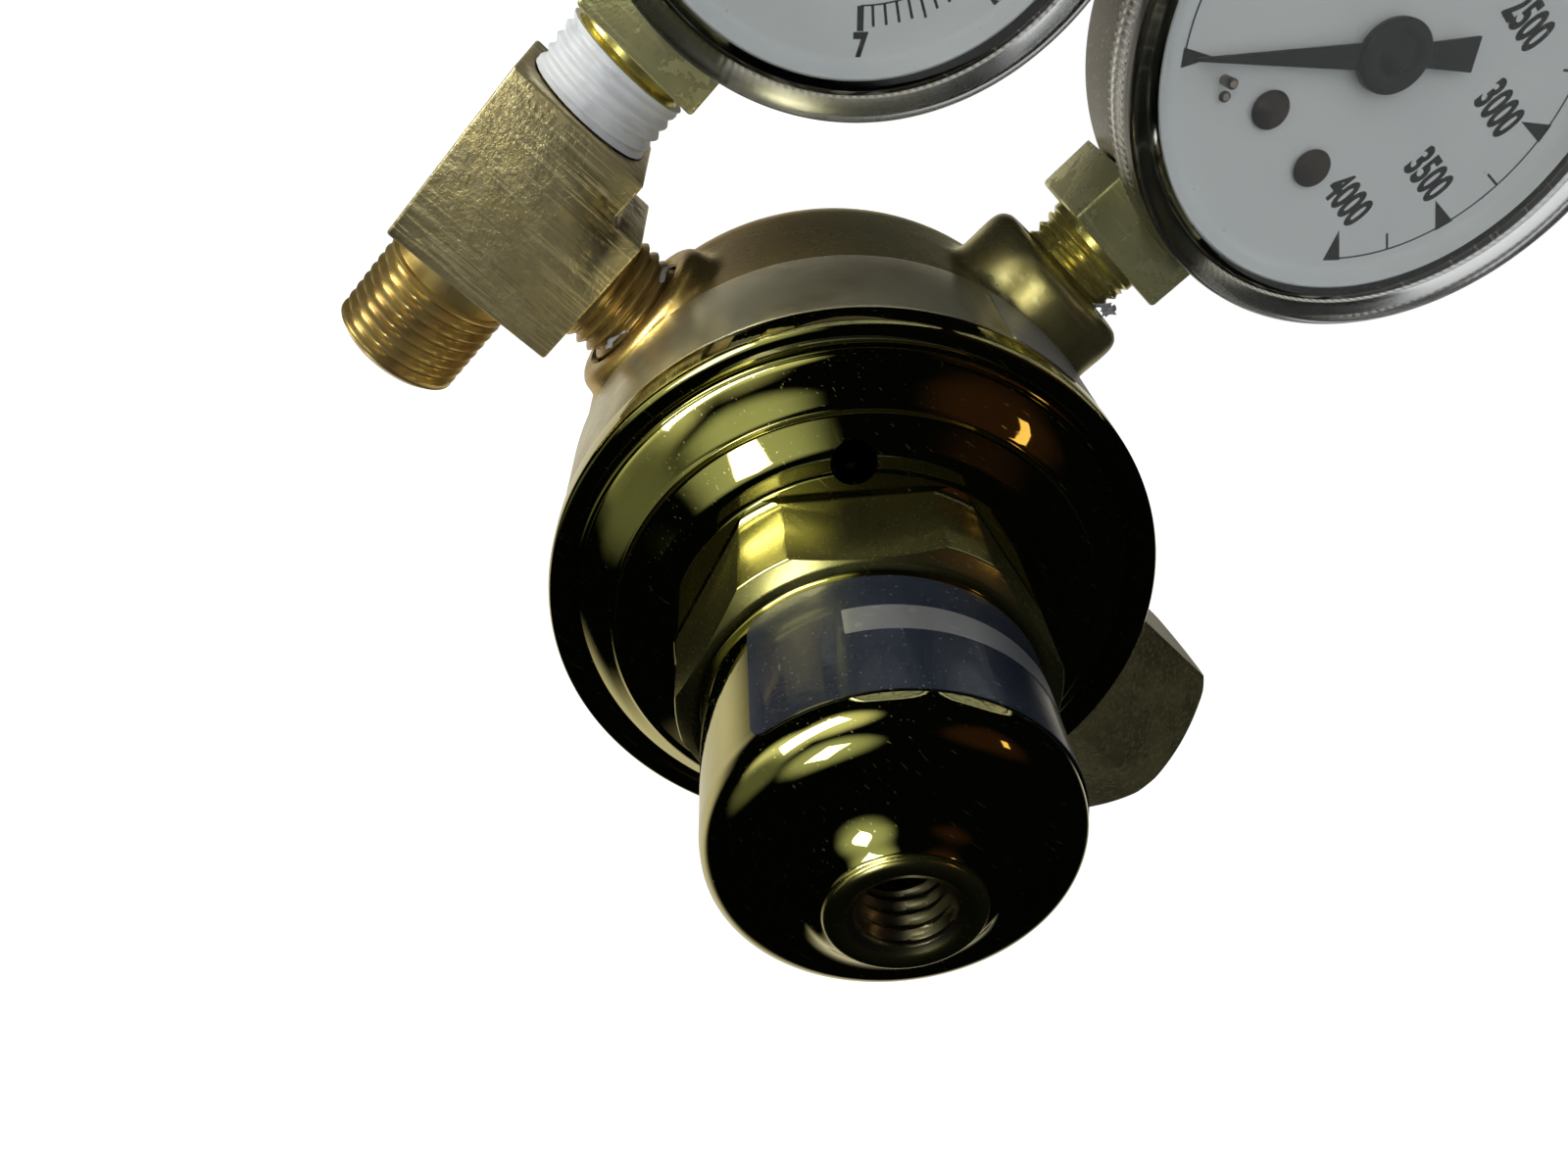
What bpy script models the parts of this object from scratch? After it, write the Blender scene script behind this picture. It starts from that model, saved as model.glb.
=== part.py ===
"""Two-gauge medical oxygen regulator, built piece by piece.

World frame: metres, +Z up. The origin is the centre of the inlet nut's mating
face and +X points out of it, towards the cylinder valve. The regulator lies on
the -X side, the bonnet points to -Y, and both gauges face -Y.

Sizes below are millimetres. Two drawing frames are used:
front frame  x right, y up (world +Z), z towards the viewer (world -Y)
inlet frame  z along world +X
"""

import bpy
import bmesh
from math import atan2, cos, hypot, pi, radians, sin, sqrt
from mathutils import Matrix, Vector

MM = 0.001

# Clearances
SEAT_GAP = 0.2
THREAD_GAP = 0.3
RUNNING_GAP = 0.15
FOIL_GAP = 0.06

# Small edges, and how far cutters and joined forms run past a face
EDGE_BREAK = 0.5
CUT_OVERRUN = 1.0
JOIN_SINK = 0.2

# Facets around large, middle and small turned pieces
LARGE_STEPS = 28
MIDDLE_STEPS = 18
SMALL_STEPS = 12
TINY_STEPS = 8

# Body
BAND_DEPTH = 15.2
BAND_STEP = 0.5
BAND_WALL = 3.5
BODY_CORNER = 5.0
CHAMBER_LEDGE = 5.8
CHAMBER_DEPTH = 5.4
PORT_BOSS_RADIUS = 10.2
PORT_BOSS_EDGE = 2.4
BOSS_ROOT = 8.0
CONTENTS_BOSS_STAND = 5.7
OUTLET_BOSS_STAND = 1.3
INLET_BOSS_STAND = 3.7
INLET_BOSS_RADIUS = 11.0
PASSAGE_RADIUS = 2.0
VALVE_BORE_RADIUS = 5.1
VALVE_SPRING_ROOM = 6.7
VALVE_BORE_WALL = 5.0
OUTLET_DROP_INSET = 3.6

# Quarter-inch pipe threads, drawn at their mean diameter
PIPE_RADIUS = 6.75
PIPE_TAPER = 1.0 / 32.0
PIPE_ENGAGED = 9.5
PIPE_RUNOUT = 1.2

# Bonnet
SKIRT_DEPTH = 8.0
SKIRT_WALL = 4.0
LIP_DEPTH = 4.4
LIP_ROUND = 2.2
LIP_ARC_END = 15.0
GROOVE_DEPTH = 0.6
FLANGE_STEP = 0.2
LIP_WIDTH = 2.6
BAND_FRONT = 7.1
BAND_WIDTH = 4.0
CONE_WIDTH = 4.0
SHOULDER_WIDTH = 2.94
RIDGE_RISE = 0.35
SHOULDER_FRONT = 8.8
FLANGE_WALL = 4.2
HEX_FLATS = 34.2
HEX_TRIM = 1.285
HEX_FRONT = 19.2
HEX_TURN = 137.8
HEX_FILLET = 0.6
HEX_ROOT_LIFT = 0.15
SLEEVE_FILLET = 0.9
HEX_CHAMFER = 1.2
SLEEVE_STEP = 1.15
SLEEVE_WALL = 3.15
SLEEVE_FRONT = 36.0
DOME_ROUND = 4.2
DOME_ARC_END = 32.0
NOSE_FRONT = 44.1
NOSE_RADIUS = 6.3
NOSE_STEPS = ((2.4, 3.2), (1.6, 1.1), (0.9, 0.2), (0.25, -0.35), (0.0, -0.95))
NOSE_BORE_RADIUS = 3.7
SPRING_BORE_FRONT = 31.5
SPRING_BORE_CONE = 3.2
VENT_RADIUS = 2.2
VENT_INSET = 1.1
VENT_ANGLE = 137.8
LABEL_THICKNESS = 0.12
LABEL_REAR = 21.1
LABEL_FRONT = 35.9
LABEL_START = 180.0
LABEL_SWEEP = 154.0

# Diaphragm stack and regulating valve
SLIP_RING_THICKNESS = 0.8
SLIP_RING_STEP = 0.5
DIAPHRAGM_THICKNESS = 0.7
PLATE_RADIUS = 13.4
PLATE_THICKNESS = 1.8
PLATE_PILOT_HEIGHT = 3.0
RIVET_RADIUS = 2.0
RIVET_HEAD_RADIUS = 6.0
RIVET_HEAD_THICKNESS = 1.4
NOZZLE_FLATS = 11.0
NOZZLE_HEAD = 2.6
NOZZLE_SHANK = 4.6
NOZZLE_BORE_RADIUS = 1.5
NOZZLE_LIP = 0.8
NOZZLE_LIP_STEP = 1.6
POPPET_STEM_RADIUS = 0.9
POPPET_RADIUS = 3.8
POPPET_LENGTH = 4.6
POPPET_STEP = 1.2
POPPET_TIP_CHAMFER = 0.3
SEAT_DISC_RADIUS = 2.8
SEAT_DISC_THICKNESS = 1.2

# Range spring and its adjuster
RANGE_COIL_INSET = 2.2
PILOT_CLEARANCE = 1.5
RANGE_WIRE = 2.6
RANGE_TURNS = 6.5
BUTTON_CLEARANCE = 1.2
BUTTON_THICKNESS = 2.2
BUTTON_FRONT = 29.5
BUTTON_PILOT = 2.0
BUTTON_CHAMFER = 1.6
BUTTON_DIMPLE = 1.6
SCREW_LENGTH = 9.0
SCREW_RADIUS = 3.45
SCREW_POINT_RADIUS = 1.6
SCREW_POINT = 1.2
SCREW_SOCKET_FLATS = 3.97
SCREW_SOCKET_DEPTH = 4.0
POPPET_WIRE = 0.5
POPPET_COIL_RADIUS = 3.1
POPPET_TURNS = 6.0

# Inlet
NUT_FLATS = 30.2
NUT_SLIDE = 3.2
NUT_STANDOFF = 0.8
NUT_REAR_WALL = 5.0
NUT_THREAD_RADIUS = 11.4
NUT_TURN = 173.8
NUT_FACE_STEP = 1.2
NUT_CHAMFER = 1.8
NUT_MOUTH = 0.8
NIPPLE_RADIUS = 6.2
NIPPLE_SHOULDER_RADIUS = 9.4
NIPPLE_RECESS = 5.0
NIPPLE_NOSE = 7.5
NIPPLE_SHOULDER = 3.5
FILTER_RADIUS = 3.0
FILTER_LENGTH = 10.0
FILTER_WALL = 1.2
FILTER_RECESS = 0.6

# Outlet tee
TEE_BAR = 15.9
OUTLET_THREAD_SHOWN = 5.1
TEE_TOP = 13.4
TEE_BOTTOM = 8.3
TEE_BRANCH_HALF = 8.3
TEE_BORE_RADIUS = 3.6
TEE_BRANCH_BORE_RADIUS = 3.0
OUTLET_RADIUS = 7.0
OUTLET_LENGTH = 13.7
OUTLET_NECK = 2.6
OUTLET_NECK_RADIUS = 6.6
OUTLET_CHAMFER = 0.8
OUTLET_BORE_RADIUS = 4.9
OUTLET_BORE_DEPTH = 8.0
TAPE_THICKNESS = 0.25
TAPE_RIBS = 3
TAPE_GROOVE_SHARE = 0.6

# Gauge placing
BLOCK_BELOW_CASE = 5.6
CONTENTS_THREAD_SHOWN = 4.6
DELIVERY_THREAD_SHOWN = 7.8
GAUGE_LAP = 0.65

# Gauge pieces, in the gauge's front frame with the stem axis at z = 0
BLOCK_WIDTH = 14.2
BLOCK_HEIGHT = 8.5
STEM_BORE_RADIUS = 1.5
NECK_WIDTH = 10.6
NECK_DEPTH = 9.6
NECK_SINK = 4.0
NECK_REACH = 2.4
ARM_INSET = 0.9
ARM_PAST_TUBE = 3.6
ARM_CAP = 3.0
TUBE_SLOT_LENGTH = 5.8
TUBE_SLOT_DEPTH = 1.6
CASE_RADIUS = 24.0
CASE_WALL = 1.0
CASE_BACK = 6.0
CASE_FRONT = 12.0
CASE_CORNER = 3.0
CASE_SLOT_REACH = 4.0
WINDOW_WALL = 0.95
WINDOW_REAR = 8.0
WINDOW_FRONT = 16.0
WINDOW_FACE = 1.4
WINDOW_EDGE = 1.0
DIAL_FRONT = 11.4
DIAL_THICKNESS = 0.5
DIAL_MARGIN = 2.1
DIAL_RIM = 1.5
DIAL_RIM_WIDTH = 1.4
DIAL_HOLE_RADIUS = 1.2
DIAL_SCREW_X = 3.85
DIAL_SCREW_Y = -10.4
DIAL_SCREW_RADIUS = 1.75
DIAL_SCREW_RIM = 0.4
DIAL_SCREW_DOME = 0.9
STOP_PIN_MARGIN = 5.4
STOP_PIN_HEIGHT = 2.2
STOP_PIN_CLOCK = 217.5
STOP_PIN_RADIUS = 0.55
POINTER_ZERO_CLOCK = 225.0
POINTER_SWEEP = 270.0
POINTER_MARGIN = 2.1
POINTER_TIP_HALF = 0.25
POINTER_ROOT_HALF = 1.3
POINTER_TAIL_HALF = 1.45
POINTER_TAIL = 7.7
POINTER_HUB_RADIUS = 3.3
POINTER_HUB_DROP = 0.3
POINTER_HUB_RISE = 0.5
POINTER_LIFT = 0.9
POINTER_THICKNESS = 0.5
PLATE_WIDTH = 11.2
PLATE_CORNER = 1.5
PLATE_FOOT_MARGIN = 5.7
PLATE_CROWN = 4.2
MOVEMENT_PLATE = 0.8
MOVEMENT_BACK = 3.2
MOVEMENT_COVER = 8.5
POST_RADIUS = 0.9
POST_INSET = 1.5
SPACER_WALL = 0.5
GEAR_MODULE = 0.25
GEAR_DEDENDUM = 1.1
GEAR_ADDENDUM = 0.75
TOOTH_ROOT_SHARE = 0.30
TOOTH_TIP_SHARE = 0.12
PINION_TEETH = 10
SECTOR_FULL_TEETH = 75
SECTOR_TEETH = 10
SECTOR_THICKNESS = 0.9
SECTOR_LIFT = 0.8
SECTOR_RIM = 2.2
SECTOR_ARM_ANGLE = 8.0
SECTOR_NECK = 1.7
SECTOR_TAIL = 5.0
ARBOR_RADIUS = 0.6
ARBOR_PROUD = 0.2
ARBOR_INSET = 0.1
PINION_OVERHANG = 0.5
LINK_THICKNESS = 0.6
LINK_LIFT = 0.3
LINK_EYE_RADIUS = 1.3
LINK_EYE_OPENING = 20.0
LINK_PIN_RADIUS = 0.45
LINK_PIN_PROUD = 0.3
TUBE_MARGIN = 8.0
TUBE_WIDTH = 5.0
TUBE_THICKNESS = 2.0
TUBE_EDGE = 0.7
TUBE_FACETS = 16
TUBE_START = 250.0
TUBE_END = -34.0
TUBE_CAP_GAP = 1.2
TUBE_CAP_ANGLE = 7.6
TUBE_CAP_HALF = 1.3
HAIRSPRING_WIRE = 0.18
HAIRSPRING_INNER = 0.9
HAIRSPRING_OUTER = 4.2
HAIRSPRING_TURNS = 3.0

# Values worked out from the sizes above
HEX_TURNED_RADIUS = HEX_FLATS / sqrt(3) - HEX_TRIM
SHOULDER_RADIUS = HEX_TURNED_RADIUS + SHOULDER_WIDTH
BAND_INNER_RADIUS = SHOULDER_RADIUS + CONE_WIDTH
GROOVE_RADIUS = BAND_INNER_RADIUS + BAND_WIDTH
FLANGE_RADIUS = GROOVE_RADIUS + LIP_WIDTH
BAND_RADIUS = FLANGE_RADIUS - FLANGE_STEP
BODY_RADIUS = BAND_RADIUS - BAND_STEP
COUNTERBORE_RADIUS = BAND_RADIUS - BAND_WALL
SKIRT_RADIUS = COUNTERBORE_RADIUS - THREAD_GAP
CHAMBER_RADIUS = COUNTERBORE_RADIUS - CHAMBER_LEDGE
VENT_OFFSET = SHOULDER_RADIUS - VENT_INSET
SLEEVE_RADIUS = HEX_FLATS / 2 - SLEEVE_STEP
SPRING_BORE_RADIUS = SLEEVE_RADIUS - SLEEVE_WALL
BUTTON_RADIUS = SPRING_BORE_RADIUS - BUTTON_CLEARANCE
RANGE_COIL_RADIUS = BUTTON_RADIUS - RANGE_COIL_INSET
PLATE_PILOT_RADIUS = RANGE_COIL_RADIUS - RANGE_WIRE / 2 - PILOT_CLEARANCE
JOINT_REAR = -SEAT_GAP
RING_FRONT = -SKIRT_DEPTH - SEAT_GAP
RING_REAR = RING_FRONT - SLIP_RING_THICKNESS
DIAPHRAGM_FRONT = RING_REAR - SEAT_GAP
DIAPHRAGM_REAR = DIAPHRAGM_FRONT - DIAPHRAGM_THICKNESS
SEAT_PLANE = DIAPHRAGM_REAR - SEAT_GAP
CHAMBER_FLOOR = SEAT_PLANE - CHAMBER_DEPTH
PLATE_REAR = DIAPHRAGM_FRONT + SEAT_GAP
PLATE_FRONT = PLATE_REAR + PLATE_THICKNESS
RIVET_HEAD_FRONT = DIAPHRAGM_REAR - SEAT_GAP
RIVET_TIP = RIVET_HEAD_FRONT - RIVET_HEAD_THICKNESS
NOZZLE_FRONT = CHAMBER_FLOOR + SEAT_GAP + NOZZLE_HEAD
NOZZLE_REAR = CHAMBER_FLOOR - NOZZLE_SHANK
DISC_FRONT = NOZZLE_REAR - SEAT_GAP
DISC_REAR = DISC_FRONT - SEAT_DISC_THICKNESS
POPPET_FRONT = DISC_REAR - SEAT_GAP
POPPET_REAR = POPPET_FRONT - POPPET_LENGTH
POPPET_TIP = RIVET_TIP - SEAT_GAP
BUTTON_REAR = BUTTON_FRONT - BUTTON_THICKNESS
SCREW_REAR = BUTTON_FRONT + SEAT_GAP
VALVE_BORE_END = VALVE_SPRING_ROOM - POPPET_REAR
BODY_DEPTH = VALVE_BORE_END + VALVE_BORE_WALL
PORT_SETBACK = -(POPPET_FRONT + POPPET_REAR) / 2
CONTENTS_BOSS_REACH = BODY_RADIUS + CONTENTS_BOSS_STAND
OUTLET_BOSS_REACH = BODY_RADIUS + OUTLET_BOSS_STAND
INLET_BOSS_REACH = BODY_RADIUS + INLET_BOSS_STAND
OUTLET_DROP = CHAMBER_RADIUS - OUTLET_DROP_INSET
NUT_REAR = INLET_BOSS_REACH + NUT_STANDOFF
NUT_LENGTH = NUT_REAR_WALL + NUT_SLIDE + NIPPLE_SHOULDER + NIPPLE_NOSE + NIPPLE_RECESS
BODY_TO_INLET_FACE = NUT_REAR + NUT_LENGTH
NIPPLE_TIP = BODY_TO_INLET_FACE - NIPPLE_RECESS
PIPE_BORE = PIPE_RADIUS + THREAD_GAP
BODY_X = -BODY_TO_INLET_FACE
TEE_BRANCH_FACE = OUTLET_BOSS_REACH + OUTLET_THREAD_SHOWN
WINDOW_INNER = CASE_RADIUS + SEAT_GAP
WINDOW_RADIUS = WINDOW_INNER + WINDOW_WALL
TEE_RUN = 2 * WINDOW_RADIUS - GAUGE_LAP
TEE_X = BODY_X - TEE_RUN
BLOCK_TO_CENTRE = CASE_RADIUS + BLOCK_BELOW_CASE
CONTENTS_RISE = CONTENTS_BOSS_REACH + CONTENTS_THREAD_SHOWN + BLOCK_TO_CENTRE
DELIVERY_RISE = TEE_TOP + DELIVERY_THREAD_SHOWN + BLOCK_TO_CENTRE
STEM_LENGTH = CONTENTS_THREAD_SHOWN + PIPE_ENGAGED
STEM_END = -BLOCK_TO_CENTRE - STEM_LENGTH
PINION_PITCH = GEAR_MODULE * PINION_TEETH / 2
SECTOR_PITCH = GEAR_MODULE * SECTOR_FULL_TEETH / 2
SECTOR_SWEEP = POINTER_SWEEP * PINION_TEETH / SECTOR_FULL_TEETH
SECTOR_REST = 90.0 - SECTOR_SWEEP / 2
ARBOR_Y = -(PINION_PITCH + SECTOR_PITCH)
SECTOR_BACK = MOVEMENT_BACK + MOVEMENT_PLATE + SECTOR_LIFT
SECTOR_FRONT = SECTOR_BACK + SECTOR_THICKNESS
LINK_BACK = SECTOR_FRONT + LINK_LIFT
LINK_FRONT = LINK_BACK + LINK_THICKNESS
DIAL_RADIUS = CASE_RADIUS - DIAL_MARGIN
DIAL_FLAT_RADIUS = DIAL_RADIUS - DIAL_RIM_WIDTH
DIAL_BACK = DIAL_FRONT - DIAL_THICKNESS
STOP_PIN_REACH = DIAL_FLAT_RADIUS - STOP_PIN_MARGIN
POINTER_LENGTH = DIAL_FLAT_RADIUS - POINTER_MARGIN
POINTER_BACK = DIAL_FRONT + POINTER_LIFT
POINTER_HUB_FRONT = POINTER_BACK + POINTER_THICKNESS + POINTER_HUB_RISE
TUBE_RADIUS = CASE_RADIUS - TUBE_MARGIN

FRONT_TURN = (radians(90), 0, 0)
INLET_TURN = (0, radians(90), 0)
OUTLET_TURN = (0, radians(-90), 0)

BRASS = (0.72, 0.58, 0.27)
POLISHED_BRASS = (0.60, 0.50, 0.20)
DARK_BRASS = (0.34, 0.27, 0.15)
MOVEMENT_BRASS = (0.70, 0.56, 0.25)
TUBE_BRONZE = (0.60, 0.42, 0.22)
STEEL = (0.55, 0.55, 0.56)
BLACK = (0.02, 0.02, 0.02)


def finish(name, color, metallic=1.0, roughness=0.35, alpha=1.0):
    """A Principled material for one piece."""
    mat = bpy.data.materials.new(name)
    mat.use_nodes = True
    shader = mat.node_tree.nodes["Principled BSDF"]
    shader.inputs["Base Color"].default_value = (*color, 1.0)
    shader.inputs["Metallic"].default_value = metallic
    shader.inputs["Roughness"].default_value = roughness
    shader.inputs["Alpha"].default_value = alpha
    return mat


def empty(name, location, rotation=(0, 0, 0), parent=None):
    """A guide that carries pieces."""
    guide = bpy.data.objects.new(name, None)
    guide.location = Vector(location) * MM
    guide.rotation_euler = rotation
    guide.parent = parent
    bpy.context.collection.objects.link(guide)
    return guide


def place(name, data, mat, parent=None, location=(0, 0, 0), rotation=(0, 0, 0)):
    """Link a mesh or curve as one named piece."""
    piece = bpy.data.objects.new(name, data)
    piece.location = Vector(location) * MM
    piece.rotation_euler = rotation
    piece.parent = parent
    if mat:
        data.materials.append(mat)
    bpy.context.collection.objects.link(piece)
    return piece


def mesh_from(bm, name, sharp=35.0):
    """Turn a bmesh into a mesh with outward faces, round parts smooth."""
    bmesh.ops.recalc_face_normals(bm, faces=bm.faces)
    mesh = bpy.data.meshes.new(name)
    bm.to_mesh(mesh)
    bm.free()
    mesh.shade_smooth()
    mesh.set_sharp_from_angle(angle=radians(sharp))
    return mesh


def turned(name, profile, steps):
    """Spin a closed (z, radius) outline about the z axis."""
    bm = bmesh.new()
    verts = [bm.verts.new((r * MM, 0, z * MM)) for z, r in profile]
    edges = []
    for a, b in zip(verts, verts[1:] + verts[:1]):
        if a.co.x > 0 or b.co.x > 0:
            edges.append(bm.edges.new((a, b)))
    bmesh.ops.spin(bm, geom=verts + edges, cent=(0, 0, 0), axis=(0, 0, 1), dvec=(0, 0, 0),
                   angle=2 * pi, steps=steps, use_merge=True)
    bmesh.ops.remove_doubles(bm, verts=bm.verts, dist=1e-7)
    return mesh_from(bm, name)


def prism(name, outline, z0, z1):
    """Extrude an (x, y) outline from z0 to z1."""
    bm = bmesh.new()
    face = bm.faces.new([bm.verts.new((x * MM, y * MM, z0 * MM)) for x, y in outline])
    lifted = bmesh.ops.extrude_face_region(bm, geom=[face])["geom"]
    top = [v for v in lifted if isinstance(v, bmesh.types.BMVert)]
    bmesh.ops.translate(bm, verts=top, vec=(0, 0, (z1 - z0) * MM))
    return mesh_from(bm, name)


def box(name, low, high):
    """A box between two corners."""
    return prism(name, [(low[0], low[1]), (high[0], low[1]), (high[0], high[1]), (low[0], high[1])],
                 low[2], high[2])


def rod(name, radius, z0, z1, steps=SMALL_STEPS):
    """A plain cylinder along z."""
    return turned(name, [(z0, 0), (z0, radius), (z1, radius), (z1, 0)], steps)


def rods(name, radius, z0, z1, places, steps=TINY_STEPS):
    """Equal cylinders along z at several (x, y) places, in one mesh."""
    bm = bmesh.new()
    for x, y in places:
        spot = Matrix.Translation(Vector((x, y, (z0 + z1) / 2)) * MM)
        bmesh.ops.create_cone(bm, cap_ends=True, segments=steps, radius1=radius * MM,
                              radius2=radius * MM, depth=(z1 - z0) * MM, matrix=spot)
    return mesh_from(bm, name)


def arc(centre, radius, start, end, count):
    """Points (z, r) or (x, y) on a circle, angles in degrees from the first axis."""
    turns = [radians(start + (end - start) * i / count) for i in range(count + 1)]
    return [(centre[0] + radius * cos(t), centre[1] + radius * sin(t)) for t in turns]


def helper(name, mesh, parent=None, location=(0, 0, 0), rotation=(0, 0, 0)):
    """A cutter or a shape to join, left out of the build."""
    tool = place(name, mesh, None, parent, location, rotation)
    tool.hide_render = True
    tool.display_type = "WIRE"
    return tool


def combine(piece, tool, operation):
    """Add one exact Boolean to a piece."""
    step = piece.modifiers.new(tool.name, "BOOLEAN")
    step.operation = operation
    step.solver = "EXACT"
    step.object = tool


def cut(piece, *tools):
    for tool in tools:
        combine(piece, tool, "DIFFERENCE")


def join(piece, *tools):
    for tool in tools:
        combine(piece, tool, "UNION")


def coil_curve(name, radius, wire, z0, z1, turns, per_turn, sides):
    """A helical spring as a bevelled curve, wire ends inside z0 and z1."""
    curve = bpy.data.curves.new(name, "CURVE")
    curve.dimensions = "3D"
    curve.bevel_depth = wire / 2 * MM
    curve.bevel_resolution = sides
    curve.use_fill_caps = True
    low = z0 + wire / 2
    high = z1 - wire / 2
    count = round(turns * per_turn)
    spline = curve.splines.new("POLY")
    spline.points.add(count)
    for i in range(count + 1):
        share = i / count
        angle = 2 * pi * turns * share
        z = low + (high - low) * share
        spline.points[i].co = (radius * cos(angle) * MM, radius * sin(angle) * MM, z * MM, 1)
    return curve


def hexagon(flats, turn=0.0):
    """Corner points of a hexagon given across its flats."""
    corner = flats / sqrt(3)
    angles = [radians(turn + 60 * i) for i in range(6)]
    return [(corner * cos(a), corner * sin(a)) for a in angles]


def clock(reach, degrees):
    """A point on a dial, clockwise from twelve."""
    return (reach * sin(radians(degrees)), reach * cos(radians(degrees)))


def pipe_profile(start, length, radius, bore):
    """A tapered male pipe end that starts at its large end and runs to -z."""
    end = start - length
    small = radius - length * PIPE_TAPER
    return [(start, bore), (start, radius), (end + EDGE_BREAK, small), (end, small - EDGE_BREAK),
            (end, bore)]


def build_body(datum, world):
    """Forged and turned body with three ports and the valve bore."""
    rear = -BODY_DEPTH
    corner = (rear + BODY_CORNER, BODY_RADIUS - BODY_CORNER)
    outer = [(JOINT_REAR, COUNTERBORE_RADIUS), (JOINT_REAR, BAND_RADIUS - EDGE_BREAK),
             (JOINT_REAR - EDGE_BREAK, BAND_RADIUS), (-BAND_DEPTH, BAND_RADIUS),
             (-BAND_DEPTH - EDGE_BREAK, BODY_RADIUS)]
    outer += arc(corner, BODY_CORNER, 90, 180, 3)
    inner = [(rear, 0), (-VALVE_BORE_END, 0), (-VALVE_BORE_END, VALVE_BORE_RADIUS),
             (CHAMBER_FLOOR, VALVE_BORE_RADIUS), (CHAMBER_FLOOR, CHAMBER_RADIUS),
             (SEAT_PLANE, CHAMBER_RADIUS), (SEAT_PLANE, COUNTERBORE_RADIUS)]
    mesh = turned("body", outer + inner, LARGE_STEPS)
    body = place("body", mesh, finish("body", BRASS, roughness=0.4), datum)

    ports = (("contents", CONTENTS_BOSS_REACH, PORT_BOSS_RADIUS, (0, 0, 0)),
             ("outlet", OUTLET_BOSS_REACH, PORT_BOSS_RADIUS, OUTLET_TURN),
             ("inlet", INLET_BOSS_REACH, INLET_BOSS_RADIUS, INLET_TURN))
    for port, reach, radius, turn in ports:
        edge = arc((reach - PORT_BOSS_EDGE, radius - PORT_BOSS_EDGE), PORT_BOSS_EDGE, 90, 0, 2)
        start = BODY_RADIUS - BOSS_ROOT
        boss = turned(port + "_boss", [(start, 0), (start, radius)] + edge + [(reach, 0)],
                      MIDDLE_STEPS)
        join(body, helper(port + "_boss_form", boss, world, (BODY_X, 0, 0), turn))
    for port, reach, radius, turn in ports:
        bottom = reach - PIPE_ENGAGED - PIPE_RUNOUT
        small = PIPE_BORE - (reach - bottom) * PIPE_TAPER
        mouth = reach + CUT_OVERRUN
        inner_end = OUTLET_DROP - PASSAGE_RADIUS / 2 if port == "outlet" else VALVE_BORE_RADIUS / 2
        hole = [(inner_end, 0), (inner_end, PASSAGE_RADIUS), (bottom - PIPE_RUNOUT, PASSAGE_RADIUS),
                (bottom, small), (mouth, PIPE_BORE + CUT_OVERRUN * PIPE_TAPER), (mouth, 0)]
        cutter = turned(port + "_hole", hole, SMALL_STEPS)
        cut(body, helper(port + "_hole_cutter", cutter, world, (BODY_X, 0, 0), turn))
    drop = rod("outlet_drop", PASSAGE_RADIUS, -PORT_SETBACK - PASSAGE_RADIUS / 2,
               CHAMBER_FLOOR + CUT_OVERRUN)
    cut(body, helper("outlet_drop_cutter", drop, datum, (-OUTLET_DROP, 0, 0)))
    return body


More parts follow.
